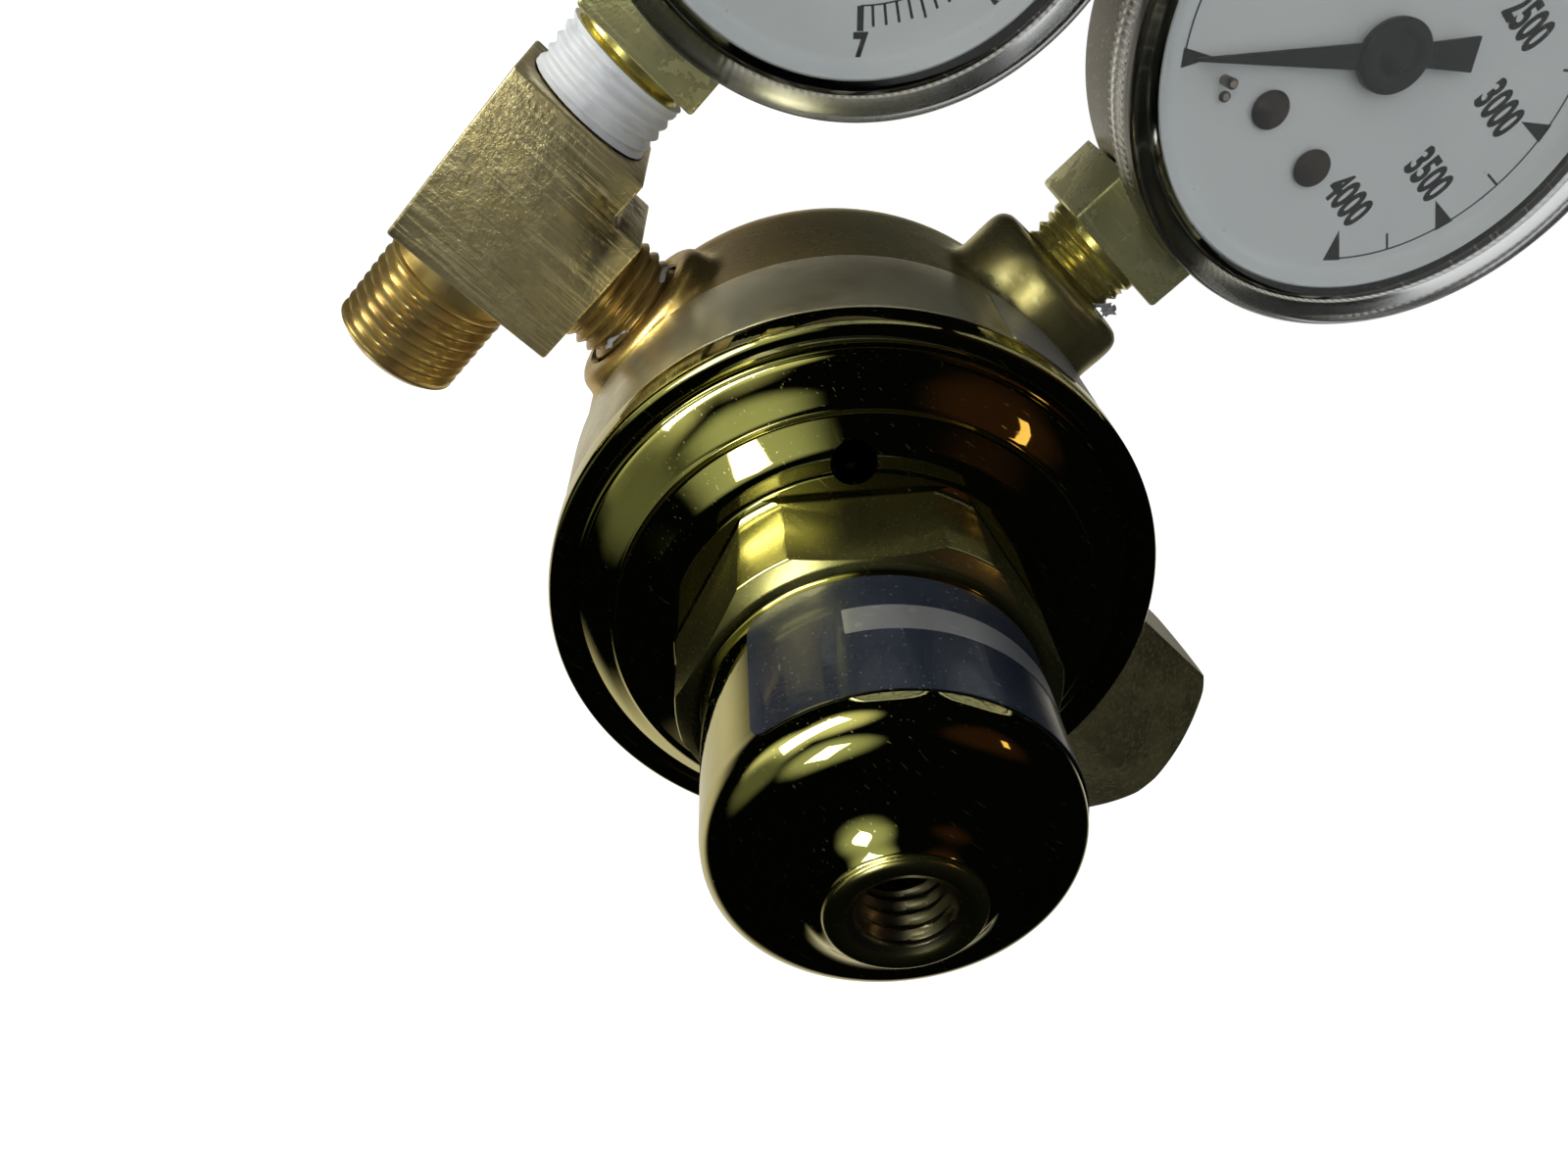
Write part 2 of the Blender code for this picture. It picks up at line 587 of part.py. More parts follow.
def build_bonnet(datum):
    """Turned bonnet: flange, stamped band, hexagon, sleeve, dome and nose."""
    lip = arc((LIP_DEPTH - LIP_ROUND, FLANGE_RADIUS - LIP_ROUND), LIP_ROUND, 90, LIP_ARC_END, 3)
    band = [(LIP_DEPTH - GROOVE_DEPTH, GROOVE_RADIUS), (LIP_DEPTH, GROOVE_RADIUS - EDGE_BREAK),
            (BAND_FRONT, BAND_INNER_RADIUS),
            (BAND_FRONT + RIDGE_RISE, BAND_INNER_RADIUS - RIDGE_RISE),
            (BAND_FRONT, BAND_INNER_RADIUS - 2 * RIDGE_RISE),
            (SHOULDER_FRONT - EDGE_BREAK, SHOULDER_RADIUS + EDGE_BREAK),
            (SHOULDER_FRONT, SHOULDER_RADIUS)]
    hexagon_blank = [(SHOULDER_FRONT, HEX_TURNED_RADIUS + HEX_FILLET),
                     (SHOULDER_FRONT + HEX_FILLET, HEX_TURNED_RADIUS),
                     (HEX_FRONT, HEX_TURNED_RADIUS),
                     (HEX_FRONT + SLEEVE_FILLET, SLEEVE_RADIUS + SLEEVE_FILLET),
                     (HEX_FRONT + HEX_CHAMFER, SLEEVE_RADIUS)]
    dome = arc((SLEEVE_FRONT, SLEEVE_RADIUS - DOME_ROUND), DOME_ROUND, 90, DOME_ARC_END, 3)
    nose = [(NOSE_FRONT - back, NOSE_RADIUS + out) for back, out in NOSE_STEPS]
    nose += [(NOSE_FRONT, NOSE_BORE_RADIUS + EDGE_BREAK), (NOSE_FRONT - EDGE_BREAK, NOSE_BORE_RADIUS)]
    inside = [(SPRING_BORE_FRONT, NOSE_BORE_RADIUS),
              (SPRING_BORE_FRONT, SPRING_BORE_RADIUS - SPRING_BORE_CONE),
              (SPRING_BORE_FRONT - SPRING_BORE_CONE, SPRING_BORE_RADIUS),
              (SHOULDER_FRONT - FLANGE_WALL, SPRING_BORE_RADIUS),
              (SHOULDER_FRONT - FLANGE_WALL, SHOULDER_RADIUS + EDGE_BREAK),
              (0.0, SKIRT_RADIUS - SKIRT_WALL), (-SKIRT_DEPTH, SKIRT_RADIUS - SKIRT_WALL),
              (-SKIRT_DEPTH, SKIRT_RADIUS), (0.0, SKIRT_RADIUS)]
    profile = [(0.0, FLANGE_RADIUS)] + lip + band + hexagon_blank + dome + nose + inside
    mesh = turned("bonnet", profile, LARGE_STEPS)
    bonnet = place("bonnet", mesh, finish("bonnet", POLISHED_BRASS, roughness=0.08), datum)

    root = SHOULDER_FRONT + HEX_ROOT_LIFT
    corner = HEX_TURNED_RADIUS
    for i in range(6):
        turn = radians(HEX_TURN + 60 * i)
        flat = box("hex_flat", (HEX_FLATS / 2, -corner, root),
                   (HEX_FLATS, corner, HEX_FRONT + HEX_CHAMFER))
        cut(bonnet, helper("hex_flat_cutter_%d" % i, flat, datum, (0, 0, 0), (0, 0, turn)))
    vent = rod("vent", VENT_RADIUS, SHOULDER_FRONT - FLANGE_WALL - CUT_OVERRUN,
               SHOULDER_FRONT + CUT_OVERRUN)
    x = VENT_OFFSET * cos(radians(VENT_ANGLE))
    y = VENT_OFFSET * sin(radians(VENT_ANGLE))
    cut(bonnet, helper("vent_cutter", vent, datum, (x, y, 0)))
    return bonnet


def build_label(datum):
    """Curved foil label on the sleeve, its facets in line with the sleeve's."""
    bm = bmesh.new()
    pitch = 360.0 / LARGE_STEPS
    count = round(LABEL_SWEEP / pitch)
    first = round(LABEL_START / pitch) * pitch
    low = SLEEVE_RADIUS + FOIL_GAP
    rings = []
    for i in range(count + 1):
        a = radians(first - i * pitch)
        ring = [(low, LABEL_REAR), (low + LABEL_THICKNESS, LABEL_REAR),
                (low + LABEL_THICKNESS, LABEL_FRONT), (low, LABEL_FRONT)]
        rings.append([bm.verts.new((r * cos(a) * MM, r * sin(a) * MM, z * MM)) for r, z in ring])
    for one, two in zip(rings, rings[1:]):
        for j in range(4):
            bm.faces.new((one[j], one[(j + 1) % 4], two[(j + 1) % 4], two[j]))
    bm.faces.new(rings[0])
    bm.faces.new(rings[-1])
    return place("data_label", mesh_from(bm, "data_label"),
                 finish("data_label", (0.02, 0.03, 0.08), 0.0, 0.3), datum)


def build_stack(datum):
    """Slip ring, diaphragm, its plate and rivet."""
    ring_outer = COUNTERBORE_RADIUS - THREAD_GAP
    ring_inner = CHAMBER_RADIUS + SLIP_RING_STEP
    ring = [(RING_FRONT, ring_inner), (RING_FRONT, ring_outer), (RING_REAR, ring_outer),
            (RING_REAR, ring_inner)]
    place("slip_ring", turned("slip_ring", ring, LARGE_STEPS),
          finish("slip_ring", STEEL, roughness=0.3), datum)

    hole = RIVET_RADIUS + RUNNING_GAP
    sheet = [(DIAPHRAGM_FRONT, hole), (DIAPHRAGM_FRONT, ring_outer),
             (DIAPHRAGM_REAR, ring_outer), (DIAPHRAGM_REAR, hole)]
    place("diaphragm", turned("diaphragm", sheet, LARGE_STEPS),
          finish("diaphragm", BLACK, 0.0, 0.7), datum)

    pilot = PLATE_FRONT + PLATE_PILOT_HEIGHT
    plate = [(PLATE_REAR, hole), (PLATE_REAR, PLATE_RADIUS - EDGE_BREAK),
             (PLATE_REAR + EDGE_BREAK, PLATE_RADIUS), (PLATE_FRONT, PLATE_RADIUS),
             (PLATE_FRONT, PLATE_PILOT_RADIUS), (pilot - EDGE_BREAK, PLATE_PILOT_RADIUS),
             (pilot, PLATE_PILOT_RADIUS - EDGE_BREAK), (pilot, hole)]
    place("diaphragm_plate", turned("diaphragm_plate", plate, MIDDLE_STEPS),
          finish("diaphragm_plate", BRASS, roughness=0.3), datum)

    head = RIVET_HEAD_RADIUS
    end = pilot + SEAT_GAP
    rivet = [(RIVET_TIP, 0), (RIVET_TIP, head - EDGE_BREAK), (RIVET_TIP + EDGE_BREAK, head),
             (RIVET_HEAD_FRONT, head), (RIVET_HEAD_FRONT, RIVET_RADIUS), (end, RIVET_RADIUS),
             (end, 0)]
    place("diaphragm_rivet", turned("diaphragm_rivet", rivet, SMALL_STEPS),
          finish("diaphragm_rivet", BRASS, roughness=0.3), datum)


def build_valve(datum):
    """Nozzle, seat disc, poppet and its return spring."""
    bore = NOZZLE_BORE_RADIUS
    shank = VALVE_BORE_RADIUS - THREAD_GAP
    head = NOZZLE_FLATS / sqrt(3)
    front = NOZZLE_FRONT
    under = CHAMBER_FLOOR + SEAT_GAP
    lip = NOZZLE_REAR + NOZZLE_LIP
    profile = [(NOZZLE_REAR, bore), (NOZZLE_REAR, shank - NOZZLE_LIP_STEP),
               (lip, shank - NOZZLE_LIP_STEP), (lip, shank), (under, shank), (under, head),
               (front - EDGE_BREAK, head), (front, head - EDGE_BREAK), (front, bore)]
    mesh = turned("nozzle", profile, SMALL_STEPS)
    nozzle = place("nozzle", mesh, finish("nozzle", BRASS, roughness=0.3), datum)
    for i in range(6):
        flat = box("nozzle_flat", (NOZZLE_FLATS / 2, -head, under - CUT_OVERRUN),
                   (NOZZLE_FLATS, head, front + CUT_OVERRUN))
        cut(nozzle, helper("nozzle_flat_cutter_%d" % i, flat, datum, (0, 0, 0),
                           (0, 0, radians(60 * i))))

    stem = POPPET_STEM_RADIUS
    step = POPPET_REAR + POPPET_STEP
    spigot = POPPET_RADIUS - POPPET_STEP
    poppet = [(POPPET_REAR, 0), (POPPET_REAR, spigot), (step, spigot), (step, POPPET_RADIUS),
              (POPPET_FRONT, POPPET_RADIUS), (POPPET_FRONT, stem),
              (POPPET_TIP - POPPET_TIP_CHAMFER, stem), (POPPET_TIP, stem - POPPET_TIP_CHAMFER),
              (POPPET_TIP, 0)]
    place("valve_poppet", turned("valve_poppet", poppet, SMALL_STEPS),
          finish("valve_poppet", STEEL, roughness=0.25), datum)

    inner = stem + RUNNING_GAP
    disc = [(DISC_FRONT, inner), (DISC_FRONT, SEAT_DISC_RADIUS), (DISC_REAR, SEAT_DISC_RADIUS),
            (DISC_REAR, inner)]
    place("seat_disc", turned("seat_disc", disc, SMALL_STEPS),
          finish("seat_disc", (0.85, 0.85, 0.80), 0.0, 0.4), datum)

    spring = coil_curve("poppet_spring", POPPET_COIL_RADIUS, POPPET_WIRE,
                        -VALVE_BORE_END + SEAT_GAP, step - SEAT_GAP,
                        POPPET_TURNS, 8, 0)
    place("poppet_spring", spring, finish("poppet_spring", STEEL, roughness=0.3), datum)


def build_adjuster(datum):
    """Range spring, spring button and the socket set screw in the nose."""
    spring = coil_curve("range_spring", RANGE_COIL_RADIUS, RANGE_WIRE, PLATE_FRONT + SEAT_GAP,
                        BUTTON_REAR - SEAT_GAP, RANGE_TURNS, 9, 1)
    place("range_spring", spring, finish("range_spring", STEEL, roughness=0.35), datum)

    pilot = PLATE_PILOT_RADIUS
    end = BUTTON_REAR - BUTTON_PILOT
    button = [(end, 0), (end, pilot - EDGE_BREAK), (end + EDGE_BREAK, pilot), (BUTTON_REAR, pilot),
              (BUTTON_REAR, BUTTON_RADIUS), (BUTTON_FRONT - BUTTON_CHAMFER, BUTTON_RADIUS),
              (BUTTON_FRONT, BUTTON_RADIUS - BUTTON_CHAMFER), (BUTTON_FRONT, BUTTON_DIMPLE),
              (BUTTON_FRONT - BUTTON_DIMPLE / 2, 0)]
    place("spring_button", turned("spring_button", button, MIDDLE_STEPS),
          finish("spring_button", STEEL, roughness=0.35), datum)

    front = SCREW_REAR + SCREW_LENGTH
    bottom = front - SCREW_SOCKET_DEPTH
    screw = [(SCREW_REAR, 0), (SCREW_REAR, SCREW_POINT_RADIUS),
             (SCREW_REAR + SCREW_POINT, SCREW_RADIUS), (front - EDGE_BREAK, SCREW_RADIUS),
             (front, SCREW_RADIUS - EDGE_BREAK), (front, 0)]
    mesh = turned("adjusting_screw", screw, SMALL_STEPS)
    piece = place("adjusting_screw", mesh,
                  finish("adjusting_screw", BLACK, 0.9, 0.4), datum)
    socket = prism("screw_socket", hexagon(SCREW_SOCKET_FLATS), bottom,
                   front + CUT_OVERRUN)
    cut(piece, helper("screw_socket_cutter", socket, datum))


def build_inlet(world):
    """Cylinder nipple, its filter and the hexagon coupling nut."""
    thread_end = INLET_BOSS_REACH - PIPE_ENGAGED
    shoulder = NIPPLE_TIP - NIPPLE_NOSE
    bore = FILTER_RADIUS + RUNNING_GAP
    pocket = NIPPLE_TIP - FILTER_LENGTH - FILTER_RECESS
    ledge = shoulder - NIPPLE_SHOULDER
    mouth = bore + CUT_OVERRUN
    thread_small = PIPE_RADIUS - PIPE_ENGAGED * PIPE_TAPER
    nose = [(shoulder + NIPPLE_NOSE * sin(t), mouth + (NIPPLE_SHOULDER_RADIUS - mouth) * cos(t))
            for t in (0, pi / 6, pi / 3, pi / 2)]
    profile = [(thread_end, PASSAGE_RADIUS), (thread_end, thread_small - EDGE_BREAK),
               (thread_end + EDGE_BREAK, thread_small), (INLET_BOSS_REACH, PIPE_RADIUS),
               (INLET_BOSS_REACH + EDGE_BREAK, NIPPLE_RADIUS), (ledge, NIPPLE_RADIUS),
               (ledge, NIPPLE_SHOULDER_RADIUS - EDGE_BREAK),
               (ledge + EDGE_BREAK, NIPPLE_SHOULDER_RADIUS)]
    profile += nose + [(NIPPLE_TIP, bore), (pocket, bore), (pocket, PASSAGE_RADIUS)]
    place("inlet_nipple", turned("inlet_nipple", profile, MIDDLE_STEPS),
          finish("inlet_nipple", BRASS, roughness=0.3), world, (BODY_X, 0, 0), INLET_TURN)

    start = NIPPLE_TIP - FILTER_LENGTH
    inner = FILTER_RADIUS - FILTER_WALL
    end = NIPPLE_TIP - FILTER_RECESS
    thimble = [(start, inner), (start, FILTER_RADIUS), (end, FILTER_RADIUS), (end, 0),
               (end - FILTER_WALL, 0), (end - FILTER_WALL, inner)]
    place("inlet_filter", turned("inlet_filter", thimble, SMALL_STEPS),
          finish("inlet_filter", TUBE_BRONZE, 0.8, 0.7), world, (BODY_X, 0, 0), INLET_TURN)

    corner = NUT_FLATS / sqrt(3)
    face = NUT_FLATS / 2 - NUT_FACE_STEP
    hole = NIPPLE_RADIUS + THREAD_GAP
    wall = NUT_REAR + NUT_REAR_WALL
    front = BODY_TO_INLET_FACE
    blank = [(NUT_REAR, hole), (NUT_REAR, face), (NUT_REAR + NUT_CHAMFER, corner),
             (front - NUT_CHAMFER, corner), (front - NUT_CHAMFER / 2, face + NUT_CHAMFER / 2),
             (front, face), (front, NUT_THREAD_RADIUS + NUT_MOUTH),
             (front - NUT_MOUTH, NUT_THREAD_RADIUS), (wall, NUT_THREAD_RADIUS), (wall, hole)]
    mesh = turned("inlet_nut", blank, MIDDLE_STEPS)
    nut = place("inlet_nut", mesh, finish("inlet_nut", DARK_BRASS, roughness=0.45), world,
                (BODY_X, 0, 0), INLET_TURN)
    for i in range(6):
        flat = box("nut_flat", (NUT_FLATS / 2, -corner, NUT_REAR - CUT_OVERRUN),
                   (NUT_FLATS, corner, front + CUT_OVERRUN))
        turn = radians(NUT_TURN + 60 * i)
        spin = (Matrix.Rotation(INLET_TURN[1], 4, "Y") @ Matrix.Rotation(turn, 4, "Z")).to_euler()
        cut(nut, helper("nut_flat_cutter_%d" % i, flat, world, (BODY_X, 0, 0), spin))


def build_tee(world):
    """Square-bar tee with a male branch, a male outlet and a female gauge port."""
    half = TEE_BAR / 2
    bar = box("outlet_tee", (-half - TEE_RUN, -TEE_BOTTOM, -half), (half - TEE_RUN, TEE_TOP, half))
    tee = place("outlet_tee", bar, finish("outlet_tee", DARK_BRASS, roughness=0.4), world,
                (BODY_X, 0, 0), FRONT_TURN)
    arm = box("branch_block", (-TEE_RUN, -TEE_BOTTOM, -half),
              (-TEE_BRANCH_FACE, TEE_BRANCH_HALF, half))
    join(tee, helper("branch_block_form", arm, world, (BODY_X, 0, 0), FRONT_TURN))

    bore = TEE_BORE_RADIUS
    reach = TEE_BRANCH_FACE - OUTLET_BOSS_REACH + PIPE_ENGAGED
    branch = pipe_profile(TEE_BRANCH_FACE + JOIN_SINK, reach + JOIN_SINK, PIPE_RADIUS, 0)
    branch_mesh = turned("branch", branch, MIDDLE_STEPS)
    join(tee, helper("branch_form", branch_mesh, world, (BODY_X, 0, 0), OUTLET_TURN))
    thread = -TEE_BOTTOM - OUTLET_NECK
    end = -OUTLET_LENGTH - TEE_BOTTOM
    outlet = [(-TEE_BOTTOM + JOIN_SINK, 0), (-TEE_BOTTOM + JOIN_SINK, OUTLET_NECK_RADIUS),
              (thread, OUTLET_NECK_RADIUS),
              (thread - OUTLET_RADIUS + OUTLET_NECK_RADIUS, OUTLET_RADIUS),
              (end + OUTLET_CHAMFER, OUTLET_RADIUS), (end, OUTLET_RADIUS - OUTLET_CHAMFER), (end, 0)]
    outlet_mesh = turned("outlet", outlet, MIDDLE_STEPS)
    join(tee, helper("outlet_form", outlet_mesh, world, (TEE_X, 0, 0)))

    across = rod("tee_across", TEE_BRANCH_BORE_RADIUS, TEE_BRANCH_FACE - reach - CUT_OVERRUN,
                 TEE_RUN)
    cut(tee, helper("tee_across_cutter", across, world, (BODY_X, 0, 0), OUTLET_TURN))

    mouth = TEE_TOP + CUT_OVERRUN
    bottom = TEE_TOP - PIPE_ENGAGED - PIPE_RUNOUT
    cone = end + OUTLET_BORE_DEPTH
    port = [(mouth, 0), (mouth, PIPE_BORE + CUT_OVERRUN * PIPE_TAPER),
            (bottom + PIPE_RUNOUT, PIPE_BORE - PIPE_ENGAGED * PIPE_TAPER), (bottom, bore),
            (cone + OUTLET_BORE_RADIUS - bore, bore), (cone, OUTLET_BORE_RADIUS),
            (end - CUT_OVERRUN, OUTLET_BORE_RADIUS), (end - CUT_OVERRUN, 0)]
    port_mesh = turned("tee_port", port, SMALL_STEPS)
    cut(tee, helper("tee_port_cutter", port_mesh, world, (TEE_X, 0, 0)))


def build_tape(world):
    """Sealing tape wound in the outlet gauge's shown thread, a rib to each wind."""
    top = TEE_TOP + DELIVERY_THREAD_SHOWN - SEAT_GAP
    inner = PIPE_RADIUS + SEAT_GAP / 2
    groove = inner + TAPE_THICKNESS * TAPE_GROOVE_SHARE
    pitch = (top - TEE_TOP - SEAT_GAP) / TAPE_RIBS
    ribs = [(TEE_TOP + SEAT_GAP, inner)]
    for i in range(TAPE_RIBS):
        low = TEE_TOP + SEAT_GAP + i * pitch
        ribs += [(low, groove), (low + pitch / 2, inner + TAPE_THICKNESS)]
    ribs += [(top, groove), (top, inner)]
    place("thread_tape", turned("thread_tape", ribs, MIDDLE_STEPS),
          finish("thread_tape", (0.9, 0.9, 0.9), 0.0, 0.6), world, (TEE_X, 0, 0))


def gear_outline(teeth, pitch_radius, full_teeth, first_angle):
    """Outline points of a run of teeth, anticlockwise from the first tooth's centre."""
    root = pitch_radius - GEAR_DEDENDUM * GEAR_MODULE
    tip = pitch_radius + GEAR_ADDENDUM * GEAR_MODULE
    flank = ((root, -TOOTH_ROOT_SHARE), (tip, -TOOTH_TIP_SHARE), (tip, TOOTH_TIP_SHARE),
             (root, TOOTH_ROOT_SHARE))
    step = 360.0 / full_teeth
    points = []
    for i in range(teeth):
        centre = first_angle + i * step
        for radius, share in flank:
            a = radians(centre + share * step)
            points.append((radius * cos(a), radius * sin(a)))
    return points


def build_movement(tag, datum):
    """Movement plates, pinion, sector, link and hairspring of one gauge."""
    brass = MOVEMENT_BRASS
    back = MOVEMENT_BACK
    top = MOVEMENT_BACK + MOVEMENT_PLATE
    cover = MOVEMENT_COVER
    half = PLATE_WIDTH / 2
    foot = PLATE_FOOT_MARGIN - CASE_RADIUS
    crown = PINION_PITCH + PLATE_CROWN
    outline = [(-half, foot), (half, foot), (half, crown - PLATE_CORNER),
               (half - PLATE_CORNER, crown), (PLATE_CORNER - half, crown),
               (-half, crown - PLATE_CORNER)]
    shaft_hole = ARBOR_RADIUS + RUNNING_GAP

    frame = place(tag + "_movement_frame", prism("movement_frame", outline, back, top),
                  finish(tag + "_movement_frame", brass, roughness=0.3), datum)
    side = half - POST_INSET
    corners = ((side, crown - POST_INSET), (-side, crown - POST_INSET), (-side, foot + POST_INSET))
    posts = rods("posts", POST_RADIUS, back + JOIN_SINK, cover - SEAT_GAP, corners)
    join(frame, helper(tag + "_posts", posts, datum))
    plate = place(tag + "_movement_cover", prism("movement_cover", outline, cover,
                                                 cover + MOVEMENT_PLATE),
                  finish(tag + "_movement_cover", brass, roughness=0.3), datum)
    holes = rods("shaft_holes", shaft_hole, back - CUT_OVERRUN,
                 cover + MOVEMENT_PLATE + CUT_OVERRUN, ((0, 0), (0, ARBOR_Y)))
    shaft_holes = helper(tag + "_shaft_hole_cutter", holes, datum)
    cut(frame, shaft_holes)
    cut(plate, shaft_holes)
    spots = ((-DIAL_SCREW_X, DIAL_SCREW_Y), (DIAL_SCREW_X, DIAL_SCREW_Y))
    shank = DIAL_SCREW_RADIUS / 2 + RUNNING_GAP
    spacers = rods("dial_spacers", shank + SPACER_WALL, cover + JOIN_SINK,
                   DIAL_BACK - SEAT_GAP, spots)
    join(plate, helper(tag + "_dial_spacers", spacers, datum))
    holes = rods("spacer_holes", shank, cover - CUT_OVERRUN, DIAL_BACK + CUT_OVERRUN, spots)
    cut(plate, helper(tag + "_spacer_hole_cutter", holes, datum))

    teeth = gear_outline(PINION_TEETH, PINION_PITCH, PINION_TEETH, 270 + 180 / PINION_TEETH)
    pinion = place(tag + "_pinion", prism("pinion", teeth, SECTOR_BACK - PINION_OVERHANG,
                                           SECTOR_FRONT + PINION_OVERHANG),
                   finish(tag + "_pinion", brass, roughness=0.25), datum)
    shaft = rod("pinion_shaft", ARBOR_RADIUS, back - ARBOR_PROUD, POINTER_HUB_FRONT + ARBOR_PROUD,
                TINY_STEPS)
    join(pinion, helper(tag + "_pinion_shaft", shaft, datum))

    arbor = empty(tag + "_arbor", (0, ARBOR_Y, 0), parent=datum)
    step = 360.0 / SECTOR_FULL_TEETH
    before = round((SECTOR_SWEEP / 2 + step * SECTOR_TEETH / 2) / step) - 1
    first = 90 - before * step
    rim = gear_outline(SECTOR_TEETH, SECTOR_PITCH, SECTOR_FULL_TEETH, first)
    last = first + (SECTOR_TEETH - 1) * step
    rim += arc((0, 0), SECTOR_PITCH - SECTOR_RIM, last, SECTOR_REST + SECTOR_ARM_ANGLE, 3)
    tail = SECTOR_REST + 180
    tail_x = SECTOR_TAIL * cos(radians(tail))
    tail_y = SECTOR_TAIL * sin(radians(tail))
    arm = arc((0, 0), SECTOR_NECK, SECTOR_REST + 60, SECTOR_REST + 120, 1)
    arm += arc((tail_x, tail_y), LINK_EYE_RADIUS, tail - 90, tail + 90, 4)
    arm += arc((0, 0), SECTOR_NECK, SECTOR_REST - 120, SECTOR_REST - 60, 1)
    arm += arc((0, 0), SECTOR_PITCH - SECTOR_RIM, SECTOR_REST - SECTOR_ARM_ANGLE, first, 3)
    sector = place(tag + "_sector", prism("sector", rim + arm, SECTOR_BACK, SECTOR_FRONT),
                   finish(tag + "_sector", brass, roughness=0.3), arbor)
    axle = rod("sector_axle", ARBOR_RADIUS, back + ARBOR_INSET, cover + MOVEMENT_PLATE - ARBOR_INSET,
               TINY_STEPS)
    join(sector, helper(tag + "_sector_axle", axle, arbor))
    pin = rod("link_pin", LINK_PIN_RADIUS, SECTOR_BACK + ARBOR_INSET, LINK_FRONT + LINK_PIN_PROUD,
              TINY_STEPS)
    join(sector, helper(tag + "_link_pin", pin, arbor, (tail_x, tail_y, 0)))

    eye = (tail_x, tail_y + ARBOR_Y)
    tip = tube_tip()
    run = hypot(tip[0] - eye[0], tip[1] - eye[1])
    lean = atan2(tip[1] - eye[1], tip[0] - eye[0])
    outline = arc((0, 0), LINK_EYE_RADIUS, LINK_EYE_OPENING, 360 - LINK_EYE_OPENING, 6)
    outline += [(run - x, -y) for x, y in outline]
    seat = empty(tag + "_link_seat", (eye[0], eye[1], 0), (0, 0, lean), datum)
    link = place(tag + "_link", prism("link", outline, LINK_BACK, LINK_FRONT),
                 finish(tag + "_link", brass, roughness=0.3), seat)
    holes = rods("link_holes", LINK_PIN_RADIUS + RUNNING_GAP, LINK_BACK - CUT_OVERRUN,
                 LINK_FRONT + CUT_OVERRUN, ((0, 0), (run, 0)))
    cut(link, helper(tag + "_link_hole_cutter", holes, seat))

    spiral = bpy.data.curves.new(tag + "_hairspring", "CURVE")
    spiral.dimensions = "3D"
    spiral.bevel_depth = HAIRSPRING_WIRE / 2 * MM
    spiral.bevel_resolution = 0
    spiral.use_fill_caps = True
    spline = spiral.splines.new("POLY")
    count = round(HAIRSPRING_TURNS * 8)
    spline.points.add(count)
    level = (LINK_FRONT + cover) / 2
    for i in range(count + 1):
        a = 2 * pi * HAIRSPRING_TURNS * i / count
        r = HAIRSPRING_INNER + (HAIRSPRING_OUTER - HAIRSPRING_INNER) * i / count
        spline.points[i].co = (r * cos(a) * MM, r * sin(a) * MM, level * MM, 1)
    place(tag + "_hairspring", spiral, finish(tag + "_hairspring", brass, roughness=0.3), datum)


def tube_tip():
    """Where the link meets the free end of the pressure tube."""
    a = radians(TUBE_END - TUBE_CAP_GAP - TUBE_CAP_ANGLE / 2)
    return (TUBE_RADIUS * cos(a), TUBE_RADIUS * sin(a))


def build_tube(tag, datum):
    """C-shaped flattened pressure tube and the end piece soldered to it."""
    bm = bmesh.new()
    wide = TUBE_WIDTH / 2
    thin = TUBE_THICKNESS / 2
    inset = (thin - TUBE_EDGE, wide - TUBE_EDGE)
    section = [(-thin, -inset[1]), (-inset[0], -wide), (inset[0], -wide), (thin, -inset[1]),
               (thin, inset[1]), (inset[0], wide), (-inset[0], wide), (-thin, inset[1])]
    rings = []
    for i in range(TUBE_FACETS + 1):
        a = radians(TUBE_START + (TUBE_END - TUBE_START) * i / TUBE_FACETS)
        points = [((TUBE_RADIUS + r) * cos(a), (TUBE_RADIUS + r) * sin(a), z) for r, z in section]
        rings.append([bm.verts.new(Vector(p) * MM) for p in points])
    for one, two in zip(rings, rings[1:]):
        for j in range(len(section)):
            k = (j + 1) % len(section)
            bm.faces.new((one[j], one[k], two[k], two[j]))
    bm.faces.new(rings[0])
    bm.faces.new(rings[-1])
    place(tag + "_pressure_tube", mesh_from(bm, "pressure_tube"),
          finish(tag + "_pressure_tube", TUBE_BRONZE, roughness=0.35), datum)

    a = radians(TUBE_END - TUBE_CAP_GAP)
    b = radians(TUBE_END - TUBE_CAP_GAP - TUBE_CAP_ANGLE)
    low = TUBE_RADIUS - TUBE_CAP_HALF
    high = TUBE_RADIUS + TUBE_CAP_HALF
    outline = [(low * cos(b), low * sin(b)), (high * cos(b), high * sin(b)),
               (high * cos(a), high * sin(a)), (low * cos(a), low * sin(a))]
    block = prism("tube_end", outline, -wide, LINK_BACK - SEAT_GAP)
    place(tag + "_tube_end", block, finish(tag + "_tube_end", BRASS, roughness=0.3), datum)


